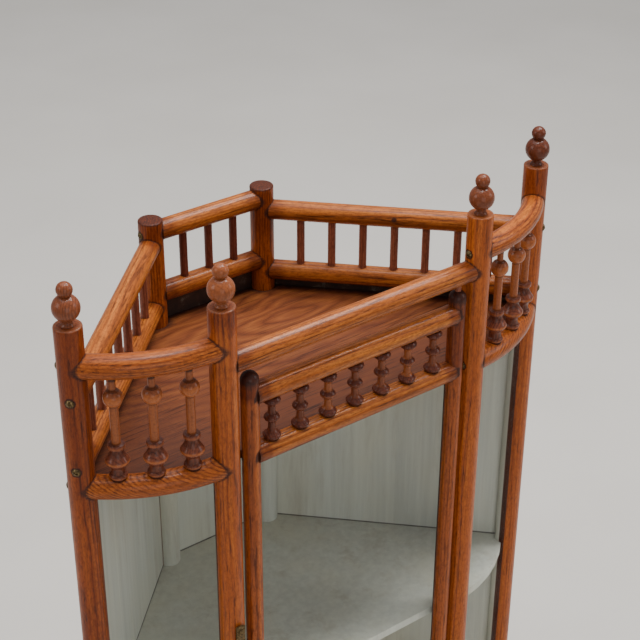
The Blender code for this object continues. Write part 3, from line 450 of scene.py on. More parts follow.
def board_wood():
    """Flat-sawn board along X, with the long loops of its rings round one spot."""
    look = Look("board_wood")
    light, middle, dark = (0.275, 0.086, 0.024), (0.175, 0.048, 0.016), (0.052, 0.013, 0.007)
    place = look.node("VectorMath", {0: look.coords(), 1: (-LOOP[0], -LOOP[1], 0.0)},
                      operation="ADD").outputs[0]
    split = look.node("SeparateXYZ", {0: place}).outputs
    bend = look.less(look.noise((0.35, 1, 1), 16, 3.0, 0.5), 0.5)
    across = look.add(split["Y"], look.times(bend, 0.062))
    tilted = look.times(split["X"], 0.30)
    figure = look.node("CombineXYZ", {"X": 0.0, "Y": across, "Z": tilted}).outputs[0]
    rings = look.rings(figure, 0.0105, look.times(bend, 9.0), "X")
    loop = tuple(0.5 * (one + two) for one, two in zip(middle, dark))
    colour = look.ramp(rings, [(0.0, loop), (0.08, middle), (0.50, light), (0.84, middle),
                               (1.0, loop)])

    # Painted shade toward the board's front, under the front rail: there the figure is quieter, the
    # pores darker and the whole board darker
    front = look.add(look.add(split["Y"], look.times(bend, 0.08)), 0.20)
    front = look.fade(front, 0.06, 0.20, 0.85, 0.0)
    quiet = look.fade(look.noise((0.3, 1, 1), 24, 3.0, 0.6), 0.36, 0.60, 0.55, 0.0)
    colour = look.mix(look.add(quiet, look.times(front, 0.65), clamp=True), colour, middle)
    fibres = look.noise((0.04, 1, 1), 1100, 2.0, 0.5)
    colour = look.mix(look.fade(fibres, 0.36, 0.56, 0.25, 0.0), colour, dark)
    dashes = look.fade(look.noise((0.035, 1, 1), 520, 2.0, 0.55), 0.37, 0.45, 0.42, 0.0)
    dashes = look.times(dashes, look.add(front, 1.0))
    colour = look.mix(dashes, colour, scaled(dark, 0.5))

    stain = look.noise((0.5, 1, 1), 14, 5.0, 0.6)
    colour = look.mix(look.fade(stain, 0.50, 0.70, 0.0, 0.8), colour, MAHOGANY, "MULTIPLY")
    colour = look.mix(front, colour, BOARD_FRONT_SHADE, "MULTIPLY")
    breakup = look.noise((1, 1, 1), 300, 3.0, 0.65)
    dirt = look.edged(look.attribute("dirt"), breakup, 0.6, 0.25, 0.9)
    colour = look.mix(look.times(dirt, 0.9), colour, GRIME_AND_SHADE)
    relief = look.less(look.times(fibres, 0.4), dashes)
    return look.finish({"Base Color": colour, "Specular IOR Level": 0.16,
                        "Roughness": look.add(look.times(stain, 0.3), 0.30),
                        "Coat Weight": 0.08, "Coat Roughness": 0.30,
                        "Normal": look.bump(relief, 0.30, 0.0003)})


def faces_outward(look, coords):
    """One on the faces that look away from the cabinet's middle."""
    normal = look.node("NewGeometry", {}).outputs["Normal"]
    flat = look.node("VectorMath", {0: coords, 1: (1.0, 1.0, 0.0)}, operation="MULTIPLY")
    facing = look.node("VectorMath", {0: normal, 1: flat.outputs[0]}, operation="DOT_PRODUCT")
    return look.math("GREATER_THAN", facing.outputs["Value"], 0.01)


def paint(name, stain_top=None):
    """Old sage paint. Given a height, it has dark stain above that, a dark line of painted shade
    where the shelf meets it, and bare wood outside."""
    look = Look(name)
    colour, streaks, cloud = sage(look)
    if stain_top is not None:
        coords = look.coords()
        height = look.node("SeparateXYZ", {0: coords}).outputs["Z"]
        brown = look.ramp(look.noise((1, 1, 1), 70, 5.0, 0.7),
                          [(0.35, (0.016, 0.009, 0.007)), (0.60, (0.046, 0.022, 0.014)),
                           (0.72, (0.13, 0.115, 0.085))])
        colour = look.mix(look.math("GREATER_THAN", height, stain_top), colour, brown)
        # A dark line of painted crease shade where the shelf meets the panel
        rise = look.math("ABSOLUTE", look.less(height, SHELF_Z), 0.0)
        line = look.fade(look.times(rise, 100.0), 0.08, 0.20, 0.85, 0.0)
        colour = look.mix(line, colour, GRIME_AND_SHADE)
        bare = look.ramp(streaks, [(0.30, (0.075, 0.038, 0.018)), (0.70, (0.150, 0.082, 0.042))])
        colour = look.mix(faces_outward(look, coords), colour, bare)
    return look.finish({"Base Color": colour, "Roughness": look.add(look.times(cloud, 0.25), 0.45),
                        "Normal": look.bump(streaks, 0.25, 0.0003)})


def glass(name, least, most):
    """Clear old window glass, slightly wavy and smudged; its reflections come from its coat."""
    look = Look(name)
    smudge = look.noise((1, 1, 0.6), 22, 5.0, 0.6)
    wave = look.noise((1, 1, 0.5), 9, 2.0, 0.5)
    return look.finish({"Base Color": (0.93, 0.97, 0.94), "Transmission Weight": 1.0, "IOR": 1.0,
                        "Roughness": 0.0, "Coat Weight": 1.0,
                        "Coat Roughness": look.fade(smudge, 0.35, 0.75, 0.02, 0.10),
                        "Alpha": look.fade(smudge, 0.40, 0.66, least, most),
                        "Normal": look.bump(wave, 0.12, 0.002)})


def brass():
    """Tarnished brass with dark dirt in its hollows."""
    look = Look("aged_brass")
    spots = look.noise((1, 1, 1), 700, 4.0, 0.7)
    colour = look.ramp(spots, [(0.30, (0.030, 0.020, 0.012)), (0.52, (0.13, 0.085, 0.036)),
                               (0.72, (0.36, 0.25, 0.11))])
    return look.finish({"Base Color": colour, "Metallic": 0.9,
                        "Roughness": look.fade(spots, 0.3, 0.7, 0.62, 0.34),
                        "Normal": look.bump(spots, 0.3, 0.0002)})


def pale_floor():
    """Plain pale matt floor."""
    look = Look("pale_floor")
    colour = look.ramp(look.noise((1, 1, 1), 3, 4.0, 0.5),
                       [(0.3, (0.580, 0.545, 0.500)), (0.7, (0.620, 0.585, 0.540))])
    return look.finish({"Base Color": colour, "Roughness": 0.9})


# The light, middle and dark tone of a wood come after its name
MATERIALS = {
    # Orange-brown open-grained wood, painted where it is inside the cabinet
    "post": wood("post_oak", ((0.56, 0.150, 0.019), (0.42, 0.091, 0.012), (0.16, 0.034, 0.008)),
                 ring=0.0031, wander=20.0, band=0.12, painted=True),
    # The same wood, more golden
    "rail": wood("rail_oak", ((0.57, 0.186, 0.032), (0.40, 0.106, 0.017), (0.13, 0.031, 0.008)),
                 ring=0.0029, wander=20.0, band=0.12),
    # The same wood, sawn to a curve, so that its rings cross the piece
    "bow": wood("bow_oak", ((0.52, 0.150, 0.024), (0.37, 0.086, 0.013), (0.085, 0.018, 0.007)),
                ring=0.0027, wander=7.0, stretch=0.30, band=0.22),
    # The door's stiles, a little redder
    "stile": wood("door_oak", ((0.52, 0.142, 0.022), (0.37, 0.083, 0.014), (0.14, 0.030, 0.008)),
                  ring=0.0029, wander=18.0, band=0.12),
    # Close-grained red-brown wood of the turnings, worn to orange on its ridges, which also paints
    # in their highlights
    "turned": wood("dark_turned",
                   ((0.235, 0.066, 0.029), (0.165, 0.043, 0.021), (0.055, 0.014, 0.009)),
                   ring=0.0022, wander=8.0, pores=0.45, rough=0.36, wear=ORANGE_WEAR_AND_HIGHLIGHT, coat=0.28,
                   blur=0.09),
    # Red-brown wood of the plain sticks
    "stick": wood("stick_wood", ((0.42, 0.140, 0.072), (0.31, 0.094, 0.048), (0.13, 0.036, 0.020)),
                  ring=0.0022, wander=8.0, pores=0.5),
    "board": board_wood(),
    "glass": glass("door_glass", 0.035, 0.13),
    "bent_glass": glass("bent_glass", 0.012, 0.05),
    "brass": brass(),
    "paint": paint("sage_paint"),
    "panel": paint("panel_paint", TOP_BOARD_Z - 0.005),
}


# Meshes

def smooth(mesh, angle):
    """Smooth shading with sharp edges kept."""
    mesh.shade_smooth()
    mesh.set_sharp_from_angle(angle=math.radians(angle))


def dense(profile, step):
    """A profile with points added along its long straight stretches."""
    points = [profile[0]]
    for (r0, z0), (r1, z1) in zip(profile, profile[1:]):
        pieces = max(1, round(math.hypot(r1 - r0, z1 - z0) / step))
        points += [(r0 + (r1 - r0) * i / pieces, z0 + (z1 - z0) * i / pieces)
                   for i in range(1, pieces + 1)]
    return points


def loft(rings):
    """A closed body through rings of points. A ring may be a single point."""
    bm = bmesh.new()
    rings = [[bm.verts.new(point) for point in ring] for ring in rings]
    count = max(len(ring) for ring in rings)
    for one, two in zip(rings, rings[1:]):
        for i in range(count):
            corners = [ring[k % len(ring)] for ring, k in
                       ((one, i), (one, i + 1), (two, i + 1), (two, i))]
            bm.faces.new(dict.fromkeys(corners))
    for ring in (rings[0], rings[-1]):
        if len(ring) > 1:
            bm.faces.new(ring)
    bmesh.ops.recalc_face_normals(bm, faces=bm.faces[:])
    mesh = bpy.data.meshes.new("piece")
    bm.to_mesh(mesh)
    bm.free()
    return mesh


def lathe(profile, sides):
    """A body turned round Z from (radius, height) points, lowest first."""
    rings = []
    for radius, height in profile:
        angles = [math.tau * i / sides for i in range(sides if radius > TIP else 1)]
        rings.append([(radius * math.cos(a), radius * math.sin(a), height) for a in angles])
    return loft(rings)


def split(mesh, planes):
    """Cut the faces of a mesh along planes, each given by a point and its normal."""
    bm = bmesh.new()
    bm.from_mesh(mesh)
    for point, normal in planes:
        bmesh.ops.bisect_plane(bm, geom=bm.verts[:] + bm.edges[:] + bm.faces[:], plane_co=point,
                               plane_no=normal)
    bm.to_mesh(mesh)
    bm.free()


def falloff(distance, inner, fade):
    """One inside a radius, down to nothing over the fade."""
    t = min(1.0, max(0.0, 1 - (distance - inner) / fade))
    return t * t * (3 - 2 * t)


def store(mesh, name, values):
    """Keep a value for each vertex."""
    layer = mesh.attributes.new(name, "FLOAT", "POINT")
    layer.data.foreach_set("value", values)


def contact(point, meets):
    """How near a point of a rail is to a post's face, or a point of a post to a rail's, as grime and
    painted crevice shade.
    """
    if meets == "posts":
        gaps = [math.hypot(point.x - post.x, point.y - post.y) - POST_R for post in POSTS.values()]
    else:
        gaps = []
        for along, height, radius in RAILS_AT[meets]:
            offset = point - at_height(POSTS[meets], height)
            forward = offset.dot(along)
            if forward > 0:
                gaps.append((offset - forward * along).length - radius)
    return CONTACT_GRIME_AND_SHADE * falloff(min(gaps, default=1.0), CONTACT_GAP, CONTACT_FADE)


def joint_dirt(mesh, place, meets):
    """How near each vertex is to a joint, as grime and painted crevice shade."""
    points = [place @ vertex.co for vertex in mesh.vertices]
    low = [min(p[i] for p in points) - SPOT_REACH for i in range(3)]
    high = [max(p[i] for p in points) + SPOT_REACH for i in range(3)]
    near = [spot for spot in SPOTS if all(low[i] < spot[0][i] < high[i] for i in range(3))]
    return [max([falloff((point - centre).length, inner, fade) for centre, inner, fade in near]
                + [contact(point, meets) if meets else 0.0]) for point in points]


def place_object(name, data, place):
    """An object of the scene at a place."""
    made = bpy.data.objects.new(name, data)
    made.matrix_world = place
    bpy.context.scene.collection.objects.link(made)
    return made


def show(name, mesh, look, place, body, nodes):
    """Add a piece that rides on a body and stands for nodes, with a look's material and slot."""
    mesh.name = name
    mesh.materials.append(MATERIALS[look])
    piece = place_object(name, mesh, place)
    bpy.context.view_layer.update()
    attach(piece, body)
    if nodes:
        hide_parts(*nodes)


def put(name, mesh, look, place, body="cabinet", nodes=None, meets=None, crease=CREASE, pith=None,
        **marks):
    """Show a smooth piece with its marks, each one value or a value by point.

    The mesh is given in its axis frame, and its origin is moved to its pith. Without nodes, the
    name is that of the node it stands for.
    """
    if nodes is None:
        name, nodes = f"{name}_skin", [name]
    smooth(mesh, crease)
    joints = joint_dirt(mesh, place, meets)
    for mark in MARKS:
        given = marks.get(mark, 0.0)
        values = [given(vertex.co) if callable(given) else given for vertex in mesh.vertices]
        # The joints add grime and painted crevice shade to the stored marks
        if mark == "dirt":
            values = [max(pair) for pair in zip(values, joints)]
        store(mesh, mark, values)
    if pith is None:
        turn = rng.uniform(0, math.tau)
        reach = rng.uniform(*PITH_REACH)
        pith = (reach * math.cos(turn), reach * math.sin(turn))
    shift = Matrix.Translation((*pith, rng.uniform(-PITH_SHIFT, PITH_SHIFT)))
    mesh.transform(shift.inverted())
    show(name, mesh, look, place @ shift, body, nodes)


def frame_along(origin, direction):
    """A frame at a point with Z along a direction and Y as near to up as it can be."""
    z = Vector(direction).normalized()
    x = UP.cross(z)
    if x.length < 1e-6:
        x = Vector((1, 0, 0))
    x.normalize()
    y = z.cross(x)
    return Matrix.Translation(origin) @ Matrix((x, y, z)).transposed().to_4x4()


# Profiles

def arc_points(radius, height, start, end, steps):
    """Points of a ball from one angle to another."""
    angles = [start + (end - start) * i / steps for i in range(steps + 1)]
    return [(max(0.0, radius * math.cos(a)), height + radius * math.sin(a)) for a in angles]


def curve_through(points, steps):
    """A smooth profile through (radius, height) points."""
    result = []
    padded = [points[0]] + list(points) + [points[-1]]
    for a, b, c, d in zip(padded, padded[1:], padded[2:], padded[3:]):
        for i in range(steps):
            t = i / steps
            result.append(tuple(0.5 * (2 * b[k] + (c[k] - a[k]) * t
                                       + (2 * a[k] - 5 * b[k] + 4 * c[k] - d[k]) * t ** 2
                                       + (3 * b[k] - a[k] - 3 * c[k] + d[k]) * t ** 3)
                                for k in range(2)))
    result.append(points[-1])
    return [(max(0.0, r), z) for r, z in result]


def rod(radius, low, high, step):
    """A plain rod with rings along its length."""
    return dense([(0, low), (radius, low), (radius, high), (0, high)], step)


def post_profile(height):
    """A post with its top edge rounded by wear."""
    wear = 0.0014
    rim = [(POST_R - wear + wear * math.sin(a), height - wear + wear * math.cos(a))
           for a in (math.pi / 2, math.pi / 3, math.pi / 6, 0)]
    foot = [(0, 0), (POST_R - wear, 0), (POST_R, wear)]
    waist = TOP_BOARD_Z - 0.04
    lower = dense([(POST_R, wear), (POST_R, waist)], 0.010)[1:]
    upper = dense([(POST_R, waist), (POST_R, height - 0.004)], 0.0025)[1:]
    top = [(0.6 * POST_R, height), (0.3 * POST_R, height), (0, height)]
    return foot + lower + upper + rim + top


def finial_profile():
    """Flared foot, neck, large ball, waist and small ball."""
    large, small = 0.0124, 0.00725
    waist, neck, neck_z = 0.0045, 0.0047, 0.0052
    large_z = neck_z + math.sqrt(large ** 2 - neck ** 2)
    small_z = large_z + math.sqrt(large ** 2 - waist ** 2) + math.sqrt(small ** 2 - waist ** 2)
    foot = [(0, 0.0003), (0.00635, 0.0003), (0.0062, 0.0008), (0.0053, 0.0016), (neck, 0.0026),
            (0.0046, 0.0040)]
    ball = arc_points(large, large_z, -math.acos(neck / large), math.acos(waist / large), 16)
    top = arc_points(small, small_z, -math.acos(waist / small), math.pi / 2, 12)
    return foot + ball + top[1:]


def baluster_profile(low, high):
    """Foot, bell, collar, stem and ball between two crowns."""
    stem, tip, ball = 0.00415, 0.0032, 0.0091
    ball_z = high - BALL_DROP
    turned = [(0.0064, -0.0017), (0.0076, 0.0002), (0.0085, 0.0018), (0.0083, 0.0032),
              (0.0074, 0.0044), (0.0065, 0.0050), (0.0063, 0.0062), (0.0064, 0.0095),
              (0.0067, 0.0120), (0.0078, 0.0134), (0.0094, 0.0148), (0.0107, 0.0164),
              (0.0112, 0.0178), (0.0112, 0.0188), (0.0106, 0.0200), (0.0094, 0.0218),
              (0.0079, 0.0242), (0.0067, 0.0266), (0.0061, 0.0286), (0.0062, 0.0300),
              (0.0070, 0.0308), (0.0077, 0.0318), (0.0079, 0.0332), (0.0077, 0.0352),
              (0.0074, 0.0358), (0.0050, 0.0362)]
    low_angle, high_angle = math.acos(stem / ball), math.acos(tip / ball)
    stem_top = ball_z - ball * math.sin(low_angle)
    tip_foot = ball_z + ball * math.sin(high_angle)
    lower = [(r, low + z) for r, z in turned]
    return ([(0, low - 0.0017)] + lower
            + dense([(stem, low + 0.0363), (stem, stem_top)], 0.004)[:-1]
            + arc_points(ball, ball_z, -low_angle, high_angle, 16)
            + dense([(tip, tip_foot), (tip, high + 0.002)], 0.003)[1:] + [(0, high + 0.002)])


def spindle_profile(low, high):
    """Foot, neck, bead, neck and cap between the door's rails, the same both ways up."""
    middle = (low + high) / 2
    foot = [(0.0066, -0.0007), (0.0078, 0.0006), (0.0086, 0.0022), (0.0086, 0.0034),
            (0.0078, 0.0046), (0.0062, 0.0060), (0.0048, 0.0076), (0.0039, 0.0092),
            (0.0036, 0.0110)]
    bead = [(0.0036, -0.0052), (0.0050, -0.0038), (0.0070, -0.0016)]
    lower = [(r, low + z) for r, z in foot] + [(r, middle + z) for r, z in bead]
    upper = [(r, low + high - z) for r, z in reversed(lower)]
    points = curve_through(lower + [(0.0075, middle)] + upper, 3)
    return [(0, low - 0.0007)] + points + [(0, high + 0.0007)]


def stile_profile():
    """A door stile with a domed top."""
    dome = arc_points(DOOR_R, DOOR_TOP - DOOR_R, 0, math.pi / 2, 12)
    shaft = dense([(DOOR_R, DOOR_FOOT + 0.001), (DOOR_R, DOOR_TOP - DOOR_R)], 0.006)
    return [(0, DOOR_FOOT), (DOOR_R, DOOR_FOOT)] + shaft + dome[1:]


def knob_profile():
    """A turned knob on a short neck."""
    seat = DOOR_R - 0.0012
    tip = DOOR_R + KNOB_LENGTH
    points = [(0.0039, seat), (0.0041, tip - 0.0125), (0.0033, tip - 0.0100),
              (0.0062, tip - 0.0080), (0.0075, tip - 0.0048), (0.0064, tip - 0.0016),
              (0.0034, tip - 0.0002)]
    return [(0, seat)] + curve_through(points, 5) + [(0, tip)]


def screw_profile():
    """A round screw head."""
    dome = arc_points(0.0046, -0.0026, math.radians(35), math.pi / 2, 8)
    return [(0, -0.001), (0.0040, -0.001), (0.0040, 0.0002)] + dome


# Pieces

def banded(bands):
    """Values by height on a turned piece, given as (from, to, value)."""
    def of_point(co):
        return max([value for low, high, value in bands if low <= co.z <= high] + [0.0])
    return of_point


def inward_faces(name):
    """Outward normal and offset of the glass and the panels that meet a post."""
    place, side = name.split("_")
    wall = Vector((SIGN[side], 1, 0)).normalized()
    if place == "front":
        return [(Vector((0, -1, 0)), GLASS_INNER)]
    if place == "outer":
        return [(Vector((SIGN[side], -1, 0)).normalized(), GLASS_INNER), (wall, PANEL_INNER)]
    return [(wall, PANEL_INNER), (Vector((0, 1, 0)), PANEL_INNER)]


def post_marks(name, height):
    """Marks of a post: wear and stain at its top, paint inside the cabinet, grime on a back post's
    top, and painted shade on the inner faces by the glass and along the seams with the panels.
    """
    place = name.split("_")[0]
    strength, depth, below = POST_STAIN[name]
    faces = inward_faces(name)

    def inner(co):
        under = co.z < TOP_BOARD_Z - 0.5 * BOARD_T
        return float(under and all(co.dot(normal) < offset for normal, offset in faces))

    def painted(co):
        bare = place == "front" or place == "outer" and co.dot(faces[0][0]) >= PAINT_EDGE
        return 0.0 if bare else inner(co)

    # Painted shade: the unpainted inner faces of the front and outer posts go near-black, and each
    # back post gets a dark line along its seams with the panels; a back post's top gets grime
    def dirt(co):
        if place != "back":
            return inner(co) - painted(co)
        gap = min(abs(offset - co.dot(normal)) for normal, offset in faces)
        return max(inner(co) * 0.8 * falloff(gap, 0.0004, 0.0014),
                   0.70 * falloff(height - co.z, 0.0004, 0.004))

    def worn(co):
        share = RIM_WEAR if math.hypot(co.x, co.y) > RIM_R else TOP_WEAR
        return 0.0 if place == "back" else share * falloff(height - co.z, 0.0002, 0.0012)

    def stain(co):
        return falloff(height - co.z, 0.45 * depth, depth) * (strength - below) + below

    return {"painted": painted, "dirt": dirt, "worn": worn, "stain": stain}


def add_posts():
    """Posts and finials."""
    for name, point in POSTS.items():
        back = name.startswith("back")
        height = POST_HEIGHT - (BACK_POST_DROP if back else 0)
        put(f"post_{name}", lathe(post_profile(height), 64), "post", Matrix.Translation(point),
            meets=name, **post_marks(name, height))
        if not back:
            put(f"finial_{name}", lathe(finial_profile(), 40), "turned",
                Matrix.Translation(at_height(point, POST_HEIGHT)), crease=50,
                worn=FINIAL_WEAR[name], stain=FINIAL_STAIN[name])


def add_straight_rails():
    """Front, side and back rails."""
    inset = POST_R - 0.004
    for name, start, end, height in straight_rails():
        span = POSTS[end] - POSTS[start]
        mesh = lathe(rod(RAIL_R, inset, span.length - inset, 0.002), 48)
        base = rng.uniform(0.0, 0.12)

        def stain(co, length=span.length, base=base):
            ends = min(co.z, length - co.z) - POST_R
            return base + 0.45 * falloff(ends, 0.004, 0.014)

        put(name, mesh, "rail", frame_along(at_height(POSTS[start], height), span), meets="posts",
            stain=stain)


def add_bow_rails():
    """Curved rails of the bowed sides. The grain of the lower ones leans across them."""
    turns = [math.tau * k / BOW_SIDES for k in range(BOW_SIDES)]
    for side, sign in SIGN.items():
        chord = (bow_point(side, BOW_ANGLE) - bow_point(side, 0)).normalized()
        for level, height in BOW_LEVELS.items():
            crossing = level == "lower"
            along = chord + UP * (math.tan(BOW_LEAN) if crossing else 0)
            place = frame_along(at_height(bow_point(side, BOW_ANGLE / 2), height), along)
            back = place.inverted()
            rings = []
            for i in range(BOW_STEPS + 1):
                angle = BOW_MARGIN + (BOW_ANGLE - 2 * BOW_MARGIN) * i / BOW_STEPS
                outward = (bow_point(side, angle) - bow_point(side, angle, 0.0)).normalized()
                centre = at_height(bow_point(side, angle), height)
                rings.append([back @ (centre + BOW_RAIL_R * (outward * math.cos(turn)
                                                             + UP * math.sin(turn)))
                              for turn in turns])
            pith = (0.010 * sign, -0.060) if crossing else (0.006 * sign, -0.05)
            put(f"bow_rail_{level}_{side}", loft(rings), "bow", place, meets="posts", pith=pith)


def add_sticks():
    """Plain sticks of the back sides."""
    for wall, sticks in stick_points().items():
        for number, (point, low, high) in enumerate(sticks, 1):
            mesh = lathe(rod(STICK_R, low - 0.002, high + 0.002, 0.004), 20)
            nodes = [f"back_stick_{number}"] if wall == "centre" else []
            put(f"gallery_stick_{wall}_{number}", mesh, "stick", Matrix.Translation(point),
                nodes=nodes, stain=STICK_STAIN[wall])


def add_balusters():
    """Turned balusters of the bowed sides, worn on their ridges, stems and balls, with painted
    highlights on the ridges and painted shade in their grooves.
    """
    low, high = BALUSTER_LEVELS
    ball = high - BALL_DROP
    # Wear by height; on the ridges and the ball's middle it also paints in highlights
    ridges = [(low + 0.0012, low + 0.0030, 0.50), (low + 0.0168, low + 0.0194, 0.72),
              (low + 0.0325, low + 0.0345, 0.40), (low + 0.0362, ball - 0.0078, 0.54),
              (ball - 0.0080, ball - 0.0024, 0.85), (ball - 0.0024, ball + 0.0010, 0.80),
              (ball + 0.0010, ball + 0.0040, 0.66), (ball + 0.0040, ball + 0.0078, 0.30),
              (ball + 0.0078, high, 0.45)]
    # Grime and painted shade in the grooves
    grooves = [(low + 0.0038, low + 0.0100, 0.42), (low + 0.0236, low + 0.0312, 0.50),
               (low + 0.0352, low + 0.0372, 0.60), (ball - 0.0096, ball - 0.0080, 0.62),
               (ball + 0.0066, ball + 0.0090, 0.60)]
    for side in SIGN:
        for number, point in enumerate(baluster_points(side), 1):
            put(f"baluster_{side}_{number}", lathe(baluster_profile(low, high), 36), "turned",
                Matrix.Translation(point), crease=40, worn=banded(ridges), dirt=banded(grooves))


def board_outline(front, inset):
    """Outline of a board in plan."""
    steps = 28
    half = [Vector((FRONT_HALF, FRONT_Y + front, 0))]
    half += [bow_point("right", BOW_ANGLE * i / steps, BOW_RADIUS - inset)
             for i in range(steps + 1)]
    edge = PANEL_INNER - 0.0003
    wall = Vector((1, 1, 0)).normalized()
    back = Vector((0, 1, 0))
    half.append(POSTS["outer_right"] + edge * wall)
    half.append(POSTS["back_right"] + edge * (wall + back) / (1 + wall.dot(back)))
    return half + [Vector((-p.x, p.y, 0)) for p in reversed(half)]


def board_mesh(outline, thickness):
    """A board, cut into a grid so that it can hold painted shade along its edges."""
    mesh = loft([[at_height(p, height) for p in outline] for height in (0, -thickness)])
    for axis, normal in enumerate((Vector((1, 0, 0)), Vector((0, 1, 0)))):
        low = min(p[axis] for p in outline)
        high = max(p[axis] for p in outline)
        count = round((high - low) / BOARD_GRID)
        split(mesh, [((low + (high - low) * i / count) * normal, normal)
                     for i in range(1, count)])
    return mesh


def edge_distance(point, outline):
    """Distance of a point in plan from an outline."""
    best = 1.0
    for one, two in zip(outline, outline[1:] + outline[:1]):
        span = two - one
        t = max(0.0, min(1.0, (point - one).dot(span) / max(span.length_squared, 1e-12)))
        best = min(best, (point - one - t * span).length)
    return best


def add_top_board():
    """The top board, with painted shade along its edges, round the posts and toward the left bow."""
    outline = board_outline(DOOR_RAIL_R - DOOR_FORWARD + 0.0005, BOW_RAIL_R + 0.0003)
    mesh = board_mesh(outline, BOARD_T)
    values = []
    for vertex in mesh.vertices:
        point = Vector((vertex.co.x, vertex.co.y, 0))
        # Painted shade along the edges, toward the left bow and round the posts
        marks = [falloff(edge_distance(point, outline), 0.001, 0.010),
                 BOW_SHADE * falloff(point.x + 0.25, 0.075, 0.110)]
        marks += [falloff((point - post).length, POST_R + 0.001, 0.008) for post in POSTS.values()]
        values.append(max(marks))
    store(mesh, "dirt", values)
    show("top_board_skin", mesh, "board", Matrix.Translation((0, 0, TOP_BOARD_Z)), "cabinet",
         ["top_board"])


def add_bow_glass():
    """Bent panes of the bowed sides."""
    low = BOW_LEVELS["bottom"] + BOW_RAIL_R - GLASS_EDGE
    high = BOW_LEVELS["lower"] - BOW_RAIL_R + GLASS_EDGE
    start = (POST_R - GLASS_EDGE) / BOW_RADIUS
    steps = 40
    for side in SIGN:
        rings = []
        for i in range(steps + 1):
            angle = start + (BOW_ANGLE - 2 * start) * i / steps
            inner, outer = (bow_point(side, angle, BOW_RADIUS + face * GLASS_T / 2)
                            for face in (-1, 1))
            rings.append([at_height(inner, low), at_height(outer, low), at_height(outer, high),
                          at_height(inner, high)])
        mesh = loft(rings)
        smooth(mesh, CREASE)
        show(f"bow_glass_{side}_skin", mesh, "bent_glass", Matrix(), "cabinet",
             [f"bow_glass_{side}"])


def add_stiles():
    """The door's stiles, with dark domes and painted shade on their flanks behind the glass."""
    for side, sign in SIGN.items():
        depth, base = STILE_STAIN[side]

        def stain(co, depth=depth, base=base):
            return base + (1 - base) * falloff(DOOR_TOP - co.z, depth, 0.022)

        def dirt(co, sign=sign):
            # Painted shade on the flank behind the glass; grime on the dome
            behind = co.y > 0.0016 and sign * co.x < 0 and co.z < DOOR_LEVELS["middle"]
            return 1.0 if behind else 0.80 * falloff(DOOR_TOP - co.z, 0.009, 0.012)

        put(f"door_stile_{side}", lathe(stile_profile(), 48), "stile",
            Matrix.Translation((sign * STILE_X, DOOR_Y, 0)), "door", crease=50, stain=stain,
            dirt=dirt)


def add_door_rails():
    """The door's rails, dark where they wrap the stiles."""
    reach = STILE_X - DOOR_R + 0.005

    def stain(co):
        return 0.10 + 0.70 * falloff(reach - abs(co.z), 0.006, 0.012)

    def dirt(co):
        return 0.35 * falloff(reach - abs(co.z), 0.005, 0.008)

    for level, height in DOOR_LEVELS.items():
        put(f"door_rail_{level}", lathe(rod(DOOR_RAIL_R, -reach, reach, 0.004), 40), "rail",
            frame_along(Vector((0, DOOR_Y, height)), (1, 0, 0)), "door", stain=stain, dirt=dirt)


def add_spindles():
    """The door's spindles, each worn in its own way."""
    low, high = SPINDLE_LEVELS
    middle = (low + high) / 2
    for number, point in enumerate(spindle_points(), 1):
        wear = rng.uniform(0.10, 0.60) * (0.45 if number < 3 else 1.0)
        bands = [(low + 0.007, middle - 0.004, wear), (middle - 0.004, middle + 0.001, 0.6 * wear),
                 (middle + 0.004, high - 0.007, wear)]
        put(f"door_spindle_{number}", lathe(spindle_profile(low, high), 32), "turned",
            Matrix.Translation(point), "door", crease=60, worn=banded(bands), stain=0.35)


def add_knob():
    """The door's knob."""
    place = frame_along(Vector((-STILE_X, DOOR_Y, SHELF_Z + KNOB_RISE)), (0, -1, 0))
    put("door_knob", lathe(knob_profile(), 36), "turned", place, "door", crease=60, worn=0.3)


def cut_slot(mesh, turn):
    """A slot across a screw head: the faces are split along it and its floor is pressed in."""
    across = Vector((math.cos(turn), math.sin(turn), 0))
    offsets = (-SLOT_HALF - SLOT_WALL, -SLOT_HALF, SLOT_HALF, SLOT_HALF + SLOT_WALL)
    split(mesh, [(offset * across, across) for offset in offsets])
    for vertex in mesh.vertices:
        if abs(vertex.co.dot(across)) < SLOT_HALF + 0.5 * SLOT_WALL:
            vertex.co.z = min(vertex.co.z, SLOT_FLOOR)


def add_screws():
    """Slotted screw heads on the posts, each opposite the end of a rail."""
    for number, face, outward in screw_places():
        mesh = lathe(screw_profile(), 24)
        cut_slot(mesh, SLOT_TURN * number)
        put(f"rail_screw_{number}", mesh, "brass", frame_along(face, outward), nodes=[], crease=50,
            pith=(0, 0))


def dress_cad():
    """Materials of the solids that are shown as they are."""
    looks = {"shelf": "paint", "bottom_board": "paint", "door_glass": "glass",
             "pivot_pin_top": "stick", "pivot_pin_bottom": "stick", "pivot_collar": "brass",
             "turn_button": "brass", "turn_button_screw": "brass"}
    looks |= {f"back_panel_{wall}": "panel" for wall in WALLS}
    for name, look in looks.items():
        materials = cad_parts[name].data.materials
        materials.clear()
        materials.append(MATERIALS[look])


# Stage

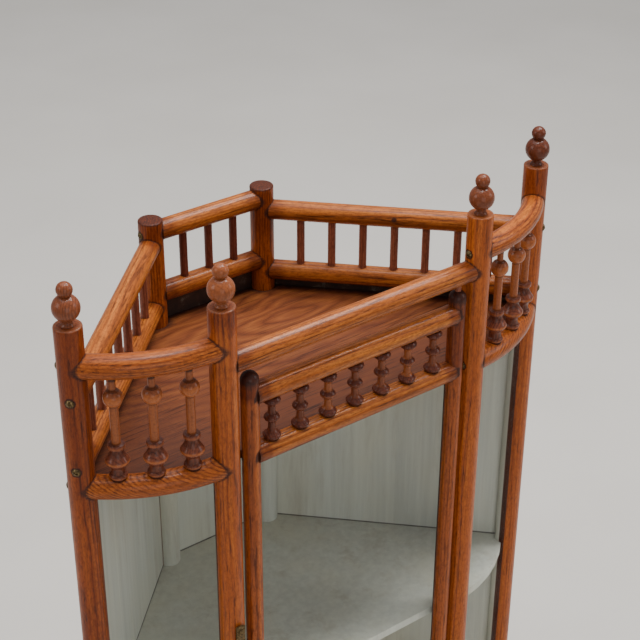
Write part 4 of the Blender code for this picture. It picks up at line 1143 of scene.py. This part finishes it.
def add_floor():
    """A large plain floor."""
    mesh = bpy.data.meshes.new("floor")
    signs = ((-1, -1), (1, -1), (1, 1), (-1, 1))
    corners = [(x * FLOOR_HALF, y * FLOOR_HALF, 0) for x, y in signs]
    mesh.from_pydata(corners, [], [(0, 1, 2, 3)])
    mesh.materials.append(pale_floor())
    floor = place_object("floor", mesh, Matrix())


def add_light(name, place, aim, size, power, colour=(1, 1, 1)):
    """A soft rectangular light."""
    light = bpy.data.lights.new(name, "AREA")
    light.shape = "RECTANGLE"
    light.size, light.size_y = size
    light.energy = power
    light.color = colour
    place_object(name, light, frame_along(Vector(place), Vector(place) - Vector(aim)))


def add_lights():
    """Soft studio light and a pale world."""
    world = bpy.data.worlds.new("world")
    world.use_nodes = True
    background = world.node_tree.nodes["Background"].inputs
    background["Color"].default_value = (0.93, 0.96, 1.0, 1)
    background["Strength"].default_value = 0.40
    bpy.context.scene.world = world
    add_light("overhead", (0.2, 0.9, 4.2), (0.2, 0.9, 0), (4.4, 3.6), 128)
    add_light("key", (0.05, -0.25, 2.6), (0, 0, 0.7), (0.7, 0.6), 14)
    add_light("streak", (1.20, 0.00, 2.7), (0, 0, 0.75), (1.25, 0.8), 44)
    add_light("fill", (-1.0, -2.4, 1.1), (0, 0, 0.5), (1.5, 1.5), 11)
    add_light("from_left", (-2.4, 0.6, 1.9), (0, 0, 0.6), (1.2, 1.2), 16, (1.0, 0.98, 0.95))
    add_light("from_right", (2.2, -1.6, 1.7), (0, 0, 0.6), (1.2, 1.2), 15, (1.0, 0.99, 0.97))


def add_camera():
    """The photograph's view: a long lens, looking down and to the right."""
    yaw, pitch, roll = (math.radians(angle) for angle in CAMERA_TURN)
    turn = (Matrix.Rotation(-yaw, 4, "Z") @ Matrix.Rotation(math.pi / 2 - pitch, 4, "X")
            @ Matrix.Rotation(roll, 4, "Z"))
    data = bpy.data.cameras.new("camera")
    data.sensor_width = 36
    data.lens = CAMERA_LENS
    data.clip_start = 0.05
    bpy.context.scene.camera = place_object("camera", data,
                                            Matrix.Translation(CAMERA_PLACE) @ turn)


add_posts()
add_straight_rails()
add_bow_rails()
add_sticks()
add_balusters()
add_top_board()
add_bow_glass()
add_stiles()
add_door_rails()
add_spindles()
add_knob()
add_screws()
dress_cad()
add_floor()
add_lights()
add_camera()
bpy.context.view_layer.update()
